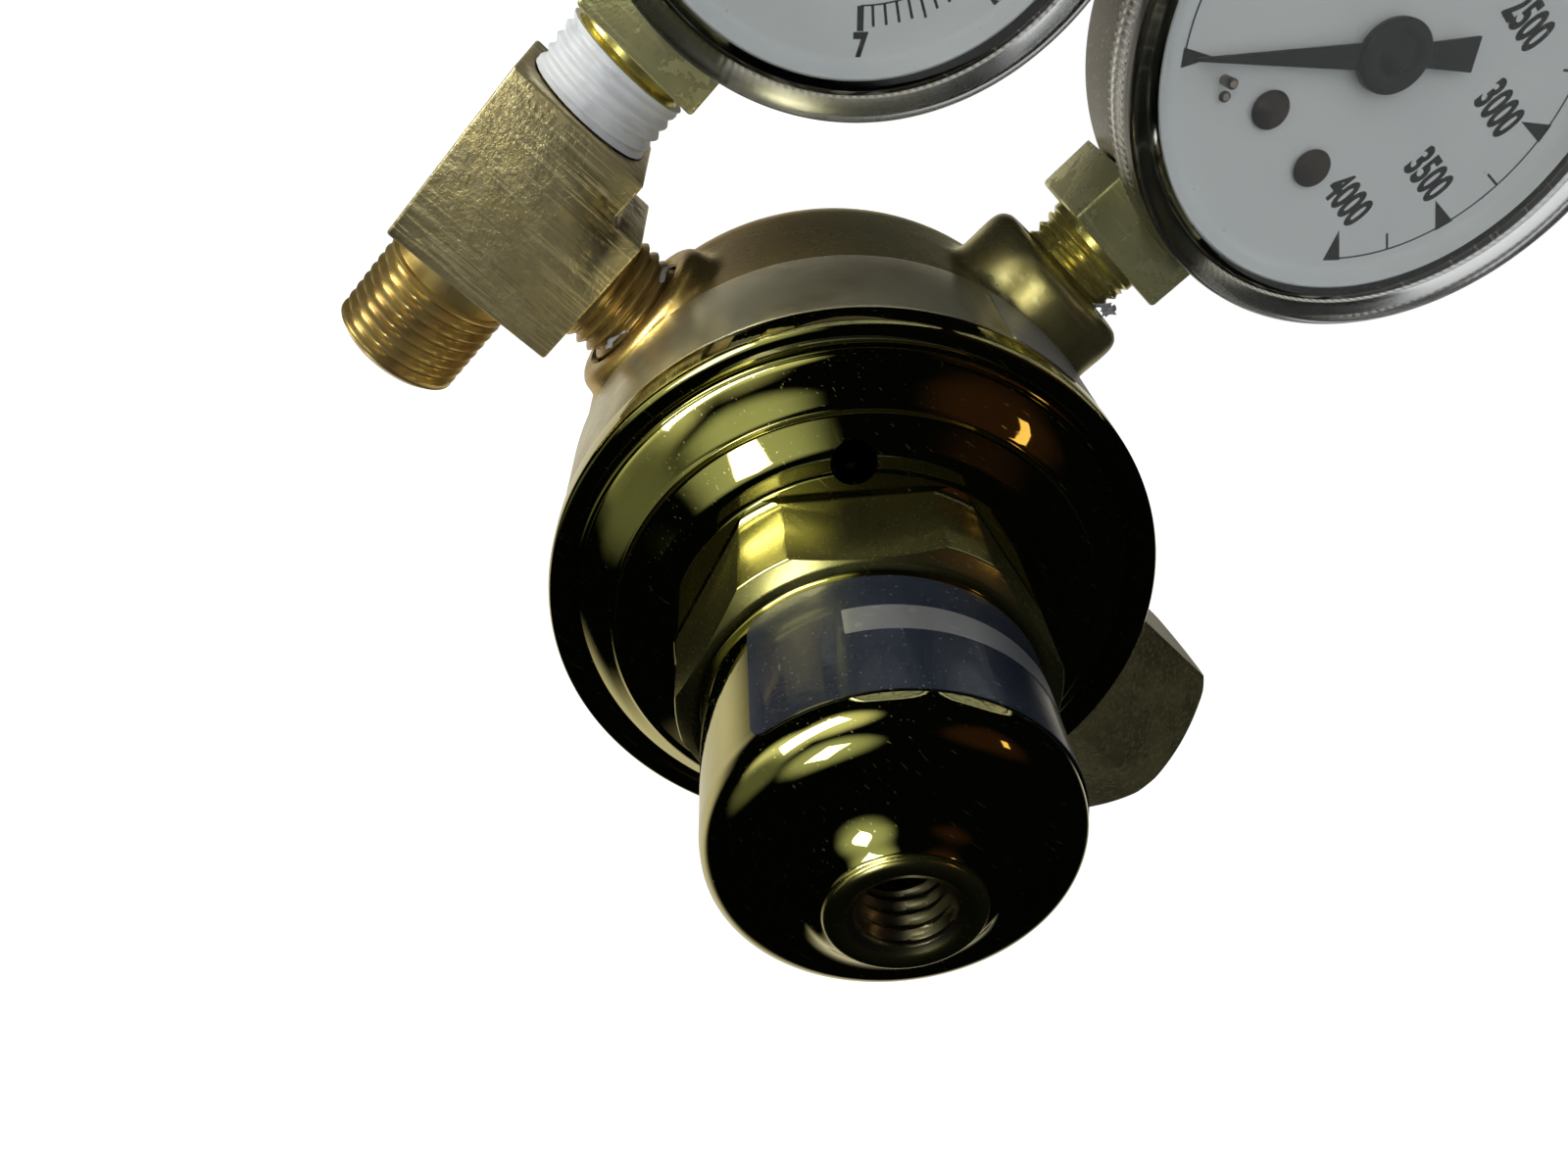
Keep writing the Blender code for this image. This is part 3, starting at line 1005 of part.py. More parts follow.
def build_gauge(tag, datum):
    """One two-inch gauge in its front frame."""
    block_half = BLOCK_WIDTH / 2
    low = -BLOCK_TO_CENTRE
    mesh = box("socket", (-block_half, low, -block_half),
               (block_half, low + BLOCK_HEIGHT, block_half))
    socket = place(tag + "_socket", mesh, finish(tag + "_socket", BRASS, roughness=0.35), datum)
    hug_rod = rod("hug", CASE_RADIUS + SEAT_GAP, -BLOCK_WIDTH, BLOCK_WIDTH, LARGE_STEPS)
    cut(socket, helper(tag + "_hug_cutter", hug_rod, datum))
    neck_half = NECK_WIDTH / 2
    neck_z = NECK_DEPTH / 2
    arm_top = ARM_PAST_TUBE - TUBE_RADIUS
    neck = box("neck", (-neck_half, low + NECK_SINK, -neck_z),
               (neck_half, NECK_REACH - CASE_RADIUS, neck_z))
    join(socket, helper(tag + "_neck_form", neck, datum))
    arm_front = MOVEMENT_BACK - SEAT_GAP
    arm = box("arm", (-neck_half + ARM_INSET, NECK_REACH / 2 - CASE_RADIUS, -neck_z + ARM_INSET),
              (neck_half - ARM_INSET, arm_top, arm_front))
    join(socket, helper(tag + "_arm_form", arm, datum))
    stem = pipe_profile(low + JOIN_SINK, STEM_LENGTH + JOIN_SINK, PIPE_RADIUS, 0)
    to_up = (radians(-90), 0, 0)
    join(socket, helper(tag + "_stem_form", turned("stem", stem, MIDDLE_STEPS), datum, (0, 0, 0),
                        to_up))
    bore = rod("stem_bore", STEM_BORE_RADIUS, STEM_END - CUT_OVERRUN, arm_top - ARM_CAP, TINY_STEPS)
    cut(socket, helper(tag + "_stem_bore_cutter", bore, datum, (0, 0, 0), to_up))
    slot_low = (-neck_half - CUT_OVERRUN, arm_top - TUBE_SLOT_LENGTH, -TUBE_WIDTH / 2 - SEAT_GAP)
    slot_high = (-neck_half + TUBE_SLOT_DEPTH, arm_top + CUT_OVERRUN, TUBE_WIDTH / 2 + SEAT_GAP)
    cut(socket, helper(tag + "_tube_slot_cutter", box("tube_slot", slot_low, slot_high), datum))

    wall = CASE_RADIUS - CASE_WALL
    corner = (-CASE_BACK + CASE_CORNER, CASE_RADIUS - CASE_CORNER)
    inner_corner = CASE_CORNER - CASE_WALL
    cup = [(-CASE_BACK, 0)] + arc(corner, CASE_CORNER, 180, 90, 2)
    cup += [(CASE_FRONT, CASE_RADIUS), (CASE_FRONT, wall)]
    cup += arc(corner, inner_corner, 90, 180, 2) + [(-CASE_BACK + CASE_WALL, 0)]
    case = place(tag + "_case", turned("case", cup, LARGE_STEPS),
                 finish(tag + "_case", (0.25, 0.23, 0.20), 0.9), datum)
    slot = NECK_DEPTH / 2 + THREAD_GAP
    opening = box("case_slot", (-neck_half - THREAD_GAP, -CASE_RADIUS - CUT_OVERRUN, -slot),
                  (neck_half + THREAD_GAP, CASE_SLOT_REACH - CASE_RADIUS, slot))
    cut(case, helper(tag + "_case_slot_cutter", opening, datum))

    outer = WINDOW_RADIUS
    face = WINDOW_FRONT - WINDOW_FACE
    cap = [(WINDOW_REAR, WINDOW_INNER), (WINDOW_REAR, outer)]
    cap += arc((WINDOW_FRONT - WINDOW_EDGE, outer - WINDOW_EDGE), WINDOW_EDGE, 90, 0, 2)
    cap += [(WINDOW_FRONT, 0), (face, 0), (face, WINDOW_INNER)]
    place(tag + "_window", turned("window", cap, LARGE_STEPS),
          finish(tag + "_window", (0.9, 0.93, 0.93), 0.0, 0.05, 0.3), datum)

    rim = DIAL_FRONT + DIAL_RIM
    plate = [(DIAL_BACK, DIAL_HOLE_RADIUS), (DIAL_BACK, DIAL_FLAT_RADIUS + DIAL_THICKNESS / 2),
             (rim - DIAL_THICKNESS, DIAL_RADIUS), (rim, DIAL_RADIUS - DIAL_THICKNESS),
             (DIAL_FRONT, DIAL_FLAT_RADIUS), (DIAL_FRONT, DIAL_HOLE_RADIUS)]
    dial = place(tag + "_dial", turned("dial", plate, LARGE_STEPS),
                 finish(tag + "_dial", (0.92, 0.92, 0.92), 0.0, 0.4), datum)
    pin_x, pin_y = clock(STOP_PIN_REACH, STOP_PIN_CLOCK)
    pin = rod("stop_pin", STOP_PIN_RADIUS, DIAL_FRONT - JOIN_SINK, DIAL_FRONT + STOP_PIN_HEIGHT,
              TINY_STEPS)
    join(dial, helper(tag + "_stop_pin", pin, datum, (pin_x, pin_y, 0)))
    spots = ((-DIAL_SCREW_X, DIAL_SCREW_Y), (DIAL_SCREW_X, DIAL_SCREW_Y))
    shank = DIAL_SCREW_RADIUS / 2
    holes = rods("dial_holes", shank + RUNNING_GAP, DIAL_BACK - CUT_OVERRUN,
                 DIAL_FRONT + CUT_OVERRUN, spots)
    cut(dial, helper(tag + "_dial_hole_cutter", holes, datum))
    seat = DIAL_FRONT + RUNNING_GAP
    end = MOVEMENT_COVER + SEAT_GAP
    crown = DIAL_SCREW_DOME - DIAL_SCREW_RIM
    dome = [(seat + DIAL_SCREW_RIM + crown * sin(t), DIAL_SCREW_RADIUS * cos(t)) for t in (0, pi / 4)]
    screw = [(end, 0), (end, shank), (seat, shank), (seat, DIAL_SCREW_RADIUS)] + dome
    screw += [(seat + DIAL_SCREW_DOME, 0)]
    for i, (x, y) in enumerate(spots):
        name = "%s_dial_screw_%d" % (tag, i + 1)
        place(name, turned(name, screw, TINY_STEPS),
              finish(name, BLACK, 0.8, 0.3), datum, (x, y, 0))

    turn = radians(90 - POINTER_ZERO_CLOCK)
    blade = [(POINTER_LENGTH, POINTER_TIP_HALF), (0, POINTER_ROOT_HALF),
             (-POINTER_TAIL, POINTER_TAIL_HALF)]
    blade += [(x, -y) for x, y in reversed(blade)]
    pointer = place(tag + "_pointer", prism("pointer", blade, POINTER_BACK,
                                            POINTER_BACK + POINTER_THICKNESS),
                    finish(tag + "_pointer", BLACK, 0.0, 0.4), datum, (0, 0, 0), (0, 0, turn))
    hub = rod("pointer_hub", POINTER_HUB_RADIUS, POINTER_BACK - POINTER_HUB_DROP,
              POINTER_HUB_FRONT)
    join(pointer, helper(tag + "_pointer_hub", hub, datum))
    bore = rod("pointer_bore", ARBOR_RADIUS + RUNNING_GAP / 2, POINTER_BACK - CUT_OVERRUN,
               POINTER_HUB_FRONT + CUT_OVERRUN, TINY_STEPS)
    cut(pointer, helper(tag + "_pointer_bore", bore, datum))

    build_tube(tag, datum)
    build_movement(tag, datum)


def build():
    for old in list(bpy.data.objects):
        bpy.data.objects.remove(old)
    scene = bpy.context.scene
    scene.unit_settings.system = "METRIC"
    world = empty("regulator", (0, 0, 0))
    flange = empty("flange_datum", (BODY_X, -PORT_SETBACK, 0), FRONT_TURN, world)
    build_body(flange, world)
    build_bonnet(flange)
    build_label(flange)
    build_stack(flange)
    build_valve(flange)
    build_adjuster(flange)
    build_inlet(world)
    build_tee(world)
    build_tape(world)
    build_gauge("contents", empty("contents_gauge_datum", (BODY_X, 0, CONTENTS_RISE), FRONT_TURN, world))
    delivery_place = (TEE_X, 0, DELIVERY_RISE)
    build_gauge("delivery", empty("delivery_gauge_datum", delivery_place, FRONT_TURN, world))


build()
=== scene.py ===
"""Looks for the two-gauge medical oxygen regulator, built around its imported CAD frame.

Builders work in millimetres in a drawing frame of their own: z is the turned axis, or, for
a gauge and the bonnet, x is right, y is up and z comes out of the face. Each piece's matrix
carries it to its place.
"""

import random
from math import cos, hypot, pi, radians, sin, sqrt

import bmesh
import bpy
from mathutils import Euler, Matrix, Vector, noise


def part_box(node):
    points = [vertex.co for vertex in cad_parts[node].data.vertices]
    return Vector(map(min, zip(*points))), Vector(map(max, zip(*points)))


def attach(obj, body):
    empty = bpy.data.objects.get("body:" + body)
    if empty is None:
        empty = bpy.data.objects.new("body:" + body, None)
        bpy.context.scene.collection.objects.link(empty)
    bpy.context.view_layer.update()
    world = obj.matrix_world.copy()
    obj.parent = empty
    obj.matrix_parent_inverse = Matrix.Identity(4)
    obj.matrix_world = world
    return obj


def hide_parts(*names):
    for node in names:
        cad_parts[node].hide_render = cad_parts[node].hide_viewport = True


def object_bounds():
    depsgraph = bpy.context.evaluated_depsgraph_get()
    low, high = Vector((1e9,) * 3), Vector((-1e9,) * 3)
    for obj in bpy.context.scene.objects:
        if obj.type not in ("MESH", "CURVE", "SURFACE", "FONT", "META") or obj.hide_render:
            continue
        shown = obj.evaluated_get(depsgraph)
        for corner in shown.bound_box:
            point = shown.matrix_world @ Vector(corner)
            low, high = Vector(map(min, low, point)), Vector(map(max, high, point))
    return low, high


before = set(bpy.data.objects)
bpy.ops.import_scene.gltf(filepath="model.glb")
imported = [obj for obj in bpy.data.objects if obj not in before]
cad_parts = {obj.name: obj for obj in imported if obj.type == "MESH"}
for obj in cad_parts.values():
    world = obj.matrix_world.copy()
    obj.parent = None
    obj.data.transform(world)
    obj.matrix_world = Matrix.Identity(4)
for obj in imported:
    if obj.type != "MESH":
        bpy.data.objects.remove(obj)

cad_low, cad_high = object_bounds()

MM = 0.001

# Clearance, facets and threads
SEAT_GAP = 0.2
FINE_STEPS = 192
ROUND_STEPS = 96
SMALL_STEPS = 48
PIPE_PITCH = 25.4 / 18
THREAD_ROWS = 8
CREASE = 32.0
CORNER_SHARE = 0.49
THREAD_FLANK = 1.25
THREAD_CREST = 0.12

# Body and bonnet, drawn from the flange plane forwards
BAND_RADIUS = 31.8
BAND_DEPTH = 15.2
BODY_RADIUS = 31.3
BODY_DEPTH = 38.0
BODY_CORNER = 5.0
FORGED_GRID = 0.55
FORGED_PASSES = 6
CHAMBER_RADIUS = 22.5
CHAMBER_FLOOR = -15.5
COUNTERBORE_RADIUS = 28.3
COUNTERBORE_FLOOR = -10.1
VALVE_BORE_RADIUS = 5.1
VALVE_BORE_END = 33.0
BOSS_ROOT = 14.0
BOSS_RADIUS = 10.2
INLET_BOSS_RADIUS = 11.0
CONTENTS_BOSS_REACH = 37.0
OUTLET_BOSS_REACH = 32.6
INLET_BOSS_REACH = 35.0
PIPE_RADIUS = 6.75
PIPE_BORE = 7.05
PIPE_TAPER = 1.0 / 32.0
PIPE_ENGAGED = 9.5
PASSAGE_RADIUS = 2.0

FLANGE_RADIUS = 32.0
LIP_DEPTH = 4.4
GROOVE_RADIUS = 29.4
BAND_FRONT = 7.1
CONE_RADIUS = 27.4
BAND_INNER_RADIUS = 25.4
SHOULDER_RADIUS = 21.4
SHOULDER_FRONT = 8.8
HEX_ROOT_RADIUS = 19.3
HEX_FLATS = 34.2
HEX_TURNED_RADIUS = 18.46
HEX_CHAMFER_RADIUS = 16.9
HEX_BLANK_RADIUS = 26.0
HEX_FRONT = 19.2
HEX_TURN = 137.8
SLEEVE_RADIUS = 15.95
SLEEVE_FRONT = 36.0
NOSE_FRONT = 44.1
NOSE_THREAD_RADIUS = 4.1
NOSE_THREAD_DEPTH = 0.5
SPRING_BORE_REAR = 4.6
SPRING_BORE_FRONT = 31.5
SPRING_BORE_RADIUS = 12.8
SPRING_BORE_NECK = 9.6
SPIGOT_DEPTH = 8.0
SPIGOT_BORE = 24.0
SPIGOT_RADIUS = 28.0
SET_SCREW_REAR = 29.7
SET_SCREW_FRONT = 38.7
SET_SCREW_RADIUS = 3.42
SET_SCREW_SOCKET = 3.97
VENT_RADIUS = 2.2
VENT_OFFSET = 20.3
VENT_ANGLE = 137.8
LABEL_REAR = 21.1
LABEL_FRONT = 35.9
LABEL_START = 180.0
LABEL_SWEEP = 154.0
LABEL_CORNER = 1.6
FOIL_GAP = 0.06
FOIL_THICKNESS = 0.12
STRIP_START = 148.0
STRIP_SWEEP = 92.0
STRIP_REAR = 25.4
STRIP_FRONT = 28.6
STRIP_THICKNESS = 0.03
SEAL_START = 106.5
SEAL_SWEEP = 52.0
SEAL_REAR = -13.6
SEAL_FRONT = -0.9
SEAL_THICKNESS = 0.05

# Inlet
NUT_FLATS = 30.2
NUT_REAR = 35.8
NUT_WALL = 5.0
NUT_THREAD_RADIUS = 11.9
NUT_THREAD_DEPTH = 0.9
NUT_PITCH = 25.4 / 14
NUT_TURN = 36.2
INLET_LENGTH = 60.0
NIPPLE_RADIUS = 6.2
NIPPLE_SHOULDER_RADIUS = 9.4
FILTER_RADIUS = 3.0
FILTER_WALL = 1.1

# Outlet tee, drawn from the body's axis
TEE_BAR = 15.9
TEE_OUTER = 57.6
TEE_BRANCH_FACE = 37.7
TEE_TOP = 13.4
TEE_BOTTOM = 8.3
OUTLET_RADIUS = 7.15
OUTLET_LENGTH = 13.7
OUTLET_NECK = 2.6
OUTLET_BORE_RADIUS = 4.9
OUTLET_BORE_DEPTH = 8.0
TEE_PASSAGE_RADIUS = 3.0
TEE_WELL_RADIUS = 3.6
TAPE_TOP = 7.6

# Gauges, drawn from the middle of the dial
BLOCK_TO_CENTRE = 29.6
BLOCK_WIDTH = 14.2
BLOCK_HEIGHT = 8.5
STEM_LENGTH = 14.1
STEM_RADIUS = 6.15
STEM_MOUTH = 6.5
STEM_PASSAGE_RADIUS = 1.5
NECK_WIDTH = 10.6
NECK_DEPTH = 9.6
CASE_RADIUS = 24.0
CASE_WALL = 1.0
CASE_BACK = 6.0
CASE_FRONT = 12.0
WINDOW_WALL = 0.95
WINDOW_REAR = 8.0
WINDOW_FRONT = 16.0
WINDOW_FACE = 1.4
KNURL_FRONT = 12.6
KNURLS = 190
DIAL_FRONT = 11.4
DIAL_THICKNESS = 0.5
DIAL_FLAT_RADIUS = 20.5
DIAL_RADIUS = 21.9
DIAL_RIM = 1.5
DIAL_HOLE_RADIUS = 1.2
INK = 0.02
DIAL_SCREW_X = 3.85
DIAL_SCREW_Y = -10.4
DIAL_SCREW_RADIUS = 1.75
STOP_PIN_REACH = 15.1
STOP_PIN_CLOCK = 217.5
REST_PIN_CLOCK = 212.0
ZERO_CLOCK = 225.0
SWEEP = 270.0
POINTER_LENGTH = 18.4
POINTER_TAIL = 7.7
POINTER_HUB_RADIUS = 3.3
POINTER_BACK = 12.3
POINTER_THICKNESS = 0.5
CONTENTS_SCALE = 19.2
CONTENTS_TICK = 17.5
CONTENTS_TRIANGLE = 16.3
CONTENTS_NUMBERS = 13.4
CONTENTS_TOP_NUMBERS = 12.6
DELIVERY_OUTER_SCALE = 15.85
DELIVERY_OUTER_NUMBERS = 19.4
DELIVERY_INNER_SCALE = 14.9
DELIVERY_INNER_NUMBERS = 10.6
ARC_RUNS = 90

# Finishes: where the forging is painted golden towards its outlet side as warm reflected light, how
# sharp a hollow gets painted shade, how broken patches and grain are, and how the fine scratches
# lie
GOLD_FROM = 18.0
GOLD_FULL = 27.0
HOLLOW_FROM = 0.47
HOLLOW_FULL = 0.42
PATCH_ROUGHNESS = 0.62
GRAIN_ROUGHNESS = 0.7
SCRATCH_TURNS = ((0.3, 0.2, 0.5), (1.2, 0.4, 2.1), (0.7, 1.3, 1.2))
SCRATCH_STRETCH = 0.04

# Camera, floor and light. A glow has its angle from the camera's side, its turn in the
# picture, the angles where it fades out and where it is full, and its colour.
CAMERA_PLACE = (-116.4, -121.8, 40.5)
CAMERA_FORWARD = (0.4274, 0.8205, -0.3797)
CAMERA_UP = (-0.5550, 0.5697, 0.6062)
CAMERA_LENS = 25.22
CAMERA_NEAR = 0.005
SENSOR_WIDTH = 36.0
FLOOR_REACH = 3.0
FLOOR_DROP = 120.0
FLOOR_COLOR = (0.85, 0.85, 0.85)
FLOOR_GLOW = 0.75
WHITE = (1, 1, 1, 1)
SOFT_LIGHT = (0.42, 0.44, 0.47)
LAMP_REACH = 0.6
POWER_OF_GLOW = 4.0
ROOM_DARK = (0.0012, 0.0016, 0.0012)
ROOM_GLOWS = (
    (168, 195, 54, 34, (0.66, 0.62, 0.52)),
    (46, 5, 26, 8, (0.026, 0.011, 0.006)),
    (56, 126, 28, 6, (1.00, 1.02, 0.62)),
    (68, 158, 28, 6, (1.00, 1.02, 0.62)),
    (66, 184, 26, 4, (0.14, 0.15, 0.09)),
    (24, 200, 26, 8, (0.50, 0.54, 0.32)),
)

# A lamp has its angle from the camera's side, its turn in the picture, the lean of its long
# side, its size in metres, its glow and its colour
LAMPS = {
    "key": (62, 142, 42, (0.50, 0.20), 7.0, (1.0, 1.0, 0.92)),
    "window": (24, 202, 70, (0.20, 0.13), 4.0, (1.0, 1.0, 0.90)),
    "golden_light": (56, 5, 70, (0.10, 0.04), 1.4, (1.0, 0.60, 0.22)),
}


def middle(node):
    """The centre of a CAD node's box, in millimetres."""
    low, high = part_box(node)
    return (low + high) / 2 / MM


def placed(x, y, z, turn=(0, 0, 0)):
    """The matrix that carries a drawing frame to its place."""
    return Matrix.Translation(Vector((x, y, z)) * MM) @ Euler(turn).to_matrix().to_4x4()


FACING = (radians(90), 0, 0)
BODY_X = middle("bonnet").x
FLANGE_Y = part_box("body")[0].y / MM - SEAT_GAP
FLANGE = placed(BODY_X, FLANGE_Y, 0, FACING)
INLET = placed(BODY_X, 0, 0, (0, radians(90), 0))
OUTLET_SIDE = placed(BODY_X, 0, 0, (0, radians(-90), 0))
UPWARD = placed(BODY_X, 0, 0)
RUN = placed(middle("delivery_window").x, 0, 0)
GAUGES = {tag: placed(middle(tag + "_window").x, 0, middle(tag + "_window").z, FACING)
          for tag in ("contents", "delivery")}
PORTS = ((CONTENTS_BOSS_REACH, BOSS_RADIUS, UPWARD), (OUTLET_BOSS_REACH, BOSS_RADIUS, OUTLET_SIDE),
         (INLET_BOSS_REACH, INLET_BOSS_RADIUS, INLET))


def linked(name, data, matrix=None):
    """A new object in the scene."""
    made = bpy.data.objects.new(name, data)
    if matrix is not None:
        made.matrix_world = matrix
    bpy.context.collection.objects.link(made)
    return made


def settled(thing, name):
    """The mesh of an object as its modifiers leave it."""
    graph = bpy.context.evaluated_depsgraph_get()
    mesh = bpy.data.meshes.new_from_object(thing.evaluated_get(graph))
    mesh.name = name
    return mesh


def filled(bm, name):
    """A mesh with what the bmesh holds."""
    mesh = bpy.data.meshes.new(name)
    bm.to_mesh(mesh)
    bm.free()
    return mesh


def crisp(mesh, sharp=CREASE):
    """Shade a mesh smooth, apart from its sharp edges."""
    mesh.shade_smooth()
    mesh.set_sharp_from_angle(angle=radians(sharp))
    return mesh


def to_mesh(bm, name, sharp=CREASE):
    """Close a bmesh as a smooth mesh with outward faces and crisp edges."""
    bmesh.ops.recalc_face_normals(bm, faces=bm.faces)
    return crisp(filled(bm, name), sharp)


def groove(turns):
    """How deep a V thread or knurl cuts at a given turn: 0 on its crest, 1 at its root."""
    return min(1.0, max(0.0, abs(2 * (turns % 1) - 1) * THREAD_FLANK - THREAD_CREST))


def turned(name, profile, steps=ROUND_STEPS, cut=None, sharp=CREASE):
    """Spin a closed outline of (z, radius) or (z, radius, depth) points about z.

    cut(z, share) says how much of the depth is taken off at a share of the turn.
    """
    bm = bmesh.new()
    rings = []
    for z, radius, *depth in profile:
        if radius == 0:
            rings.append([bm.verts.new((0, 0, z * MM))] * steps)
            continue
        ring = []
        for i in range(steps):
            angle = 2 * pi * i / steps
            reach = radius - (depth[0] * cut(z, i / steps) if depth else 0)
            ring.append(bm.verts.new((reach * cos(angle) * MM, reach * sin(angle) * MM, z * MM)))
        rings.append(ring)
    for one, two in zip(rings, rings[1:] + rings[:1]):
        if one[0] is one[1] and two[0] is two[1]:
            continue
        for i in range(steps):
            k = (i + 1) % steps
            bm.faces.new(dict.fromkeys((one[i], one[k], two[k], two[i])))
    return to_mesh(bm, name, sharp)


def helix(pitch):
    """A right-hand thread for turned."""
    return lambda z, share: groove(z / pitch - share)


def threaded(z0, z1, radius, depth, pitch=PIPE_PITCH, taper=0.0):
    """Outline points of a threaded stretch that fades in and out."""
    rows = max(2, round(abs(z1 - z0) / pitch * THREAD_ROWS))
    points = []
    for i in range(rows + 1):
        along = abs(z1 - z0) * i / rows
        fade = min(1.0, 2 * min(along, abs(z1 - z0) - along) / pitch)
        points.append((z0 + (z1 - z0) * i / rows, radius - taper * along, depth * fade))
    return points


def soft(outline, count=4):
    """Round the corners of a closed outline whose points may name a radius."""
    points = []
    for i, (a, b, *size) in enumerate(outline):
        here = Vector((a, b))
        if not size:
            points.append((a, b))
            continue
        before = Vector(outline[i - 1][:2]) - here
        after = Vector(outline[(i + 1) % len(outline)][:2]) - here
        reach = min(size[0], before.length * CORNER_SHARE, after.length * CORNER_SHARE)
        start = here + before.normalized() * reach
        end = here + after.normalized() * reach
        for j in range(count + 1):
            t = j / count
            spot = start * (1 - t) ** 2 + here * 2 * t * (1 - t) + end * t * t
            points.append(tuple(spot))
    return points


def flowing(knots, per=6):
    """A smooth curve through outline points, without its first one."""
    spots = [Vector(k) for k in knots]
    spots = [spots[0] * 2 - spots[1]] + spots + [spots[-1] * 2 - spots[-2]]
    points = []
    for p0, p1, p2, p3 in zip(spots, spots[1:], spots[2:], spots[3:]):
        for j in range(1, per + 1):
            t = j / per
            spot = 0.5 * (2 * p1 + (p2 - p0) * t + (2 * p0 - 5 * p1 + 4 * p2 - p3) * t * t
                          + (3 * p1 - p0 - 3 * p2 + p3) * t ** 3)
            points.append(tuple(spot))
    return points


def ring_points(radius, start, end, count, centre=(0, 0)):
    """Points on an arc, angles in degrees anticlockwise from x."""
    turns = [radians(start + (end - start) * i / count) for i in range(count + 1)]
    return [(centre[0] + radius * cos(t), centre[1] + radius * sin(t)) for t in turns]


def hexagon(flats, turn=0.0):
    """Corner points of a hexagon given across its flats."""
    return ring_points(flats / sqrt(3), turn, turn + 300, 5)


def prism(name, outline, z0, z1, edge=0.0, sharp=CREASE):
    """Extrude an outline from z0 to z1 and round its edges."""
    bm = bmesh.new()
    face = bm.faces.new([bm.verts.new((x * MM, y * MM, z0 * MM)) for x, y in outline])
    lifted = bmesh.ops.extrude_face_region(bm, geom=[face])["geom"]
    top = [v for v in lifted if isinstance(v, bmesh.types.BMVert)]
    bmesh.ops.translate(bm, verts=top, vec=(0, 0, (z1 - z0) * MM))
    if edge:
        bmesh.ops.recalc_face_normals(bm, faces=bm.faces)
        bmesh.ops.bevel(bm, geom=list(bm.edges), offset=edge * MM, segments=3, profile=0.5,
                        affect="EDGES", clamp_overlap=True)
    return to_mesh(bm, name, sharp)


def block(name, low, high, edge=0.0):
    """A box between two corners."""
    outline = [(low[0], low[1]), (high[0], low[1]), (high[0], high[1]), (low[0], high[1])]
    return prism(name, outline, low[2], high[2], edge)


def rod(radius, z0, z1, steps=SMALL_STEPS):
    """A plain cylinder along z."""
    return turned("rod", [(z0, 0), (z0, radius), (z1, radius), (z1, 0)], steps)


def worked(mesh, tool, operation="DIFFERENCE", turn=None, sharp=CREASE):
    """Cut or join one closed mesh with another, moved by turn if that is given."""
    blank = linked(mesh.name, mesh)
    cutter = linked("tool", tool, turn)
    step = blank.modifiers.new("step", "BOOLEAN")
    step.operation = operation
    step.solver = "MANIFOLD"
    step.object = cutter
    result = settled(blank, mesh.name)
    for part in (blank, cutter):
        bpy.data.objects.remove(part)
    return crisp(result, sharp)


def piece(name, mesh, matrix, finish, slot, *nodes, body="regulator_body"):
    """Put a piece in its place and finish, on its CAD body, in place of CAD nodes if any."""
    made = linked(name, mesh, matrix)
    mesh.materials.clear()
    mesh.materials.append(finish)
    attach(made, body)
    if nodes:
        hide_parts(*nodes)


def refinish(node, finish):
    """Give a CAD node that stays its better material."""
    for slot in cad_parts[node].material_slots:
        slot.material = finish


# Shader nodes and finishes


def new_group(name, inputs, outputs):
    """An empty shader node group with float inputs and named outputs."""
    group = bpy.data.node_groups.new(name, "ShaderNodeTree")
    for label, value in inputs.items():
        socket = group.interface.new_socket(label, in_out="INPUT", socket_type="NodeSocketFloat")
        socket.default_value = value
    for label in outputs:
        group.interface.new_socket(label, in_out="OUTPUT", socket_type="NodeSocketFloat")
    return group, group.nodes.new("NodeGroupInput"), group.nodes.new("NodeGroupOutput")


def feed(tree, socket, value):
    """Link a value to a socket, or set it there."""
    if isinstance(value, bpy.types.NodeSocket):
        tree.links.new(value, socket)
    else:
        socket.default_value = value


def add(tree, kind, inputs=None, **settings):
    """A node with its settings, and its inputs as values or links."""
    node = tree.nodes.new("ShaderNode" + kind)
    for name, value in settings.items():
        setattr(node, name, value)
    for name, value in (inputs or {}).items():
        feed(tree, node.inputs[name], value)
    return node


def product(tree, one, two):
    """Two masks, or a mask and an amount, multiplied."""
    return add(tree, "Math", {0: one, 1: two}, operation="MULTIPLY").outputs[0]


def laid_over(tree, share, under, over):
    """One colour laid over another, each a value or a link."""
    return add(tree, "Mix", {"Factor": share, 6: under, 7: over}, data_type="RGBA").outputs[2]


def range_map(tree, value, low, high, to_low=0.0, to_high=1.0):
    """A smooth step between two values."""
    node = add(tree, "MapRange", {"Value": value, "From Min": low, "From Max": high,
                                  "To Min": to_low, "To Max": to_high},
               interpolation_type="SMOOTHSTEP")
    return node.outputs["Result"]


def object_place(tree):
    """Object coordinates, which stay with the piece."""
    return add(tree, "TexCoord").outputs["Object"]


def object_axes(tree):
    """Object coordinates, taken apart into x, y and z."""
    return add(tree, "SeparateXYZ", {0: object_place(tree)}).outputs


def axis_reach(tree, axes):
    """How far a point lies from the z axis."""
    flat = add(tree, "CombineXYZ", {0: axes[0], 1: axes[1]})
    return add(tree, "VectorMath", {0: flat.outputs[0]}, operation="LENGTH").outputs["Value"]


def seeded_place(group, given):
    """Object coordinates moved on by the seed, so that no two uses look alike."""
    shift = add(group, "VectorMath", {0: object_place(group), 1: given.outputs["Seed"]},
                operation="ADD")
    return shift.outputs[0]


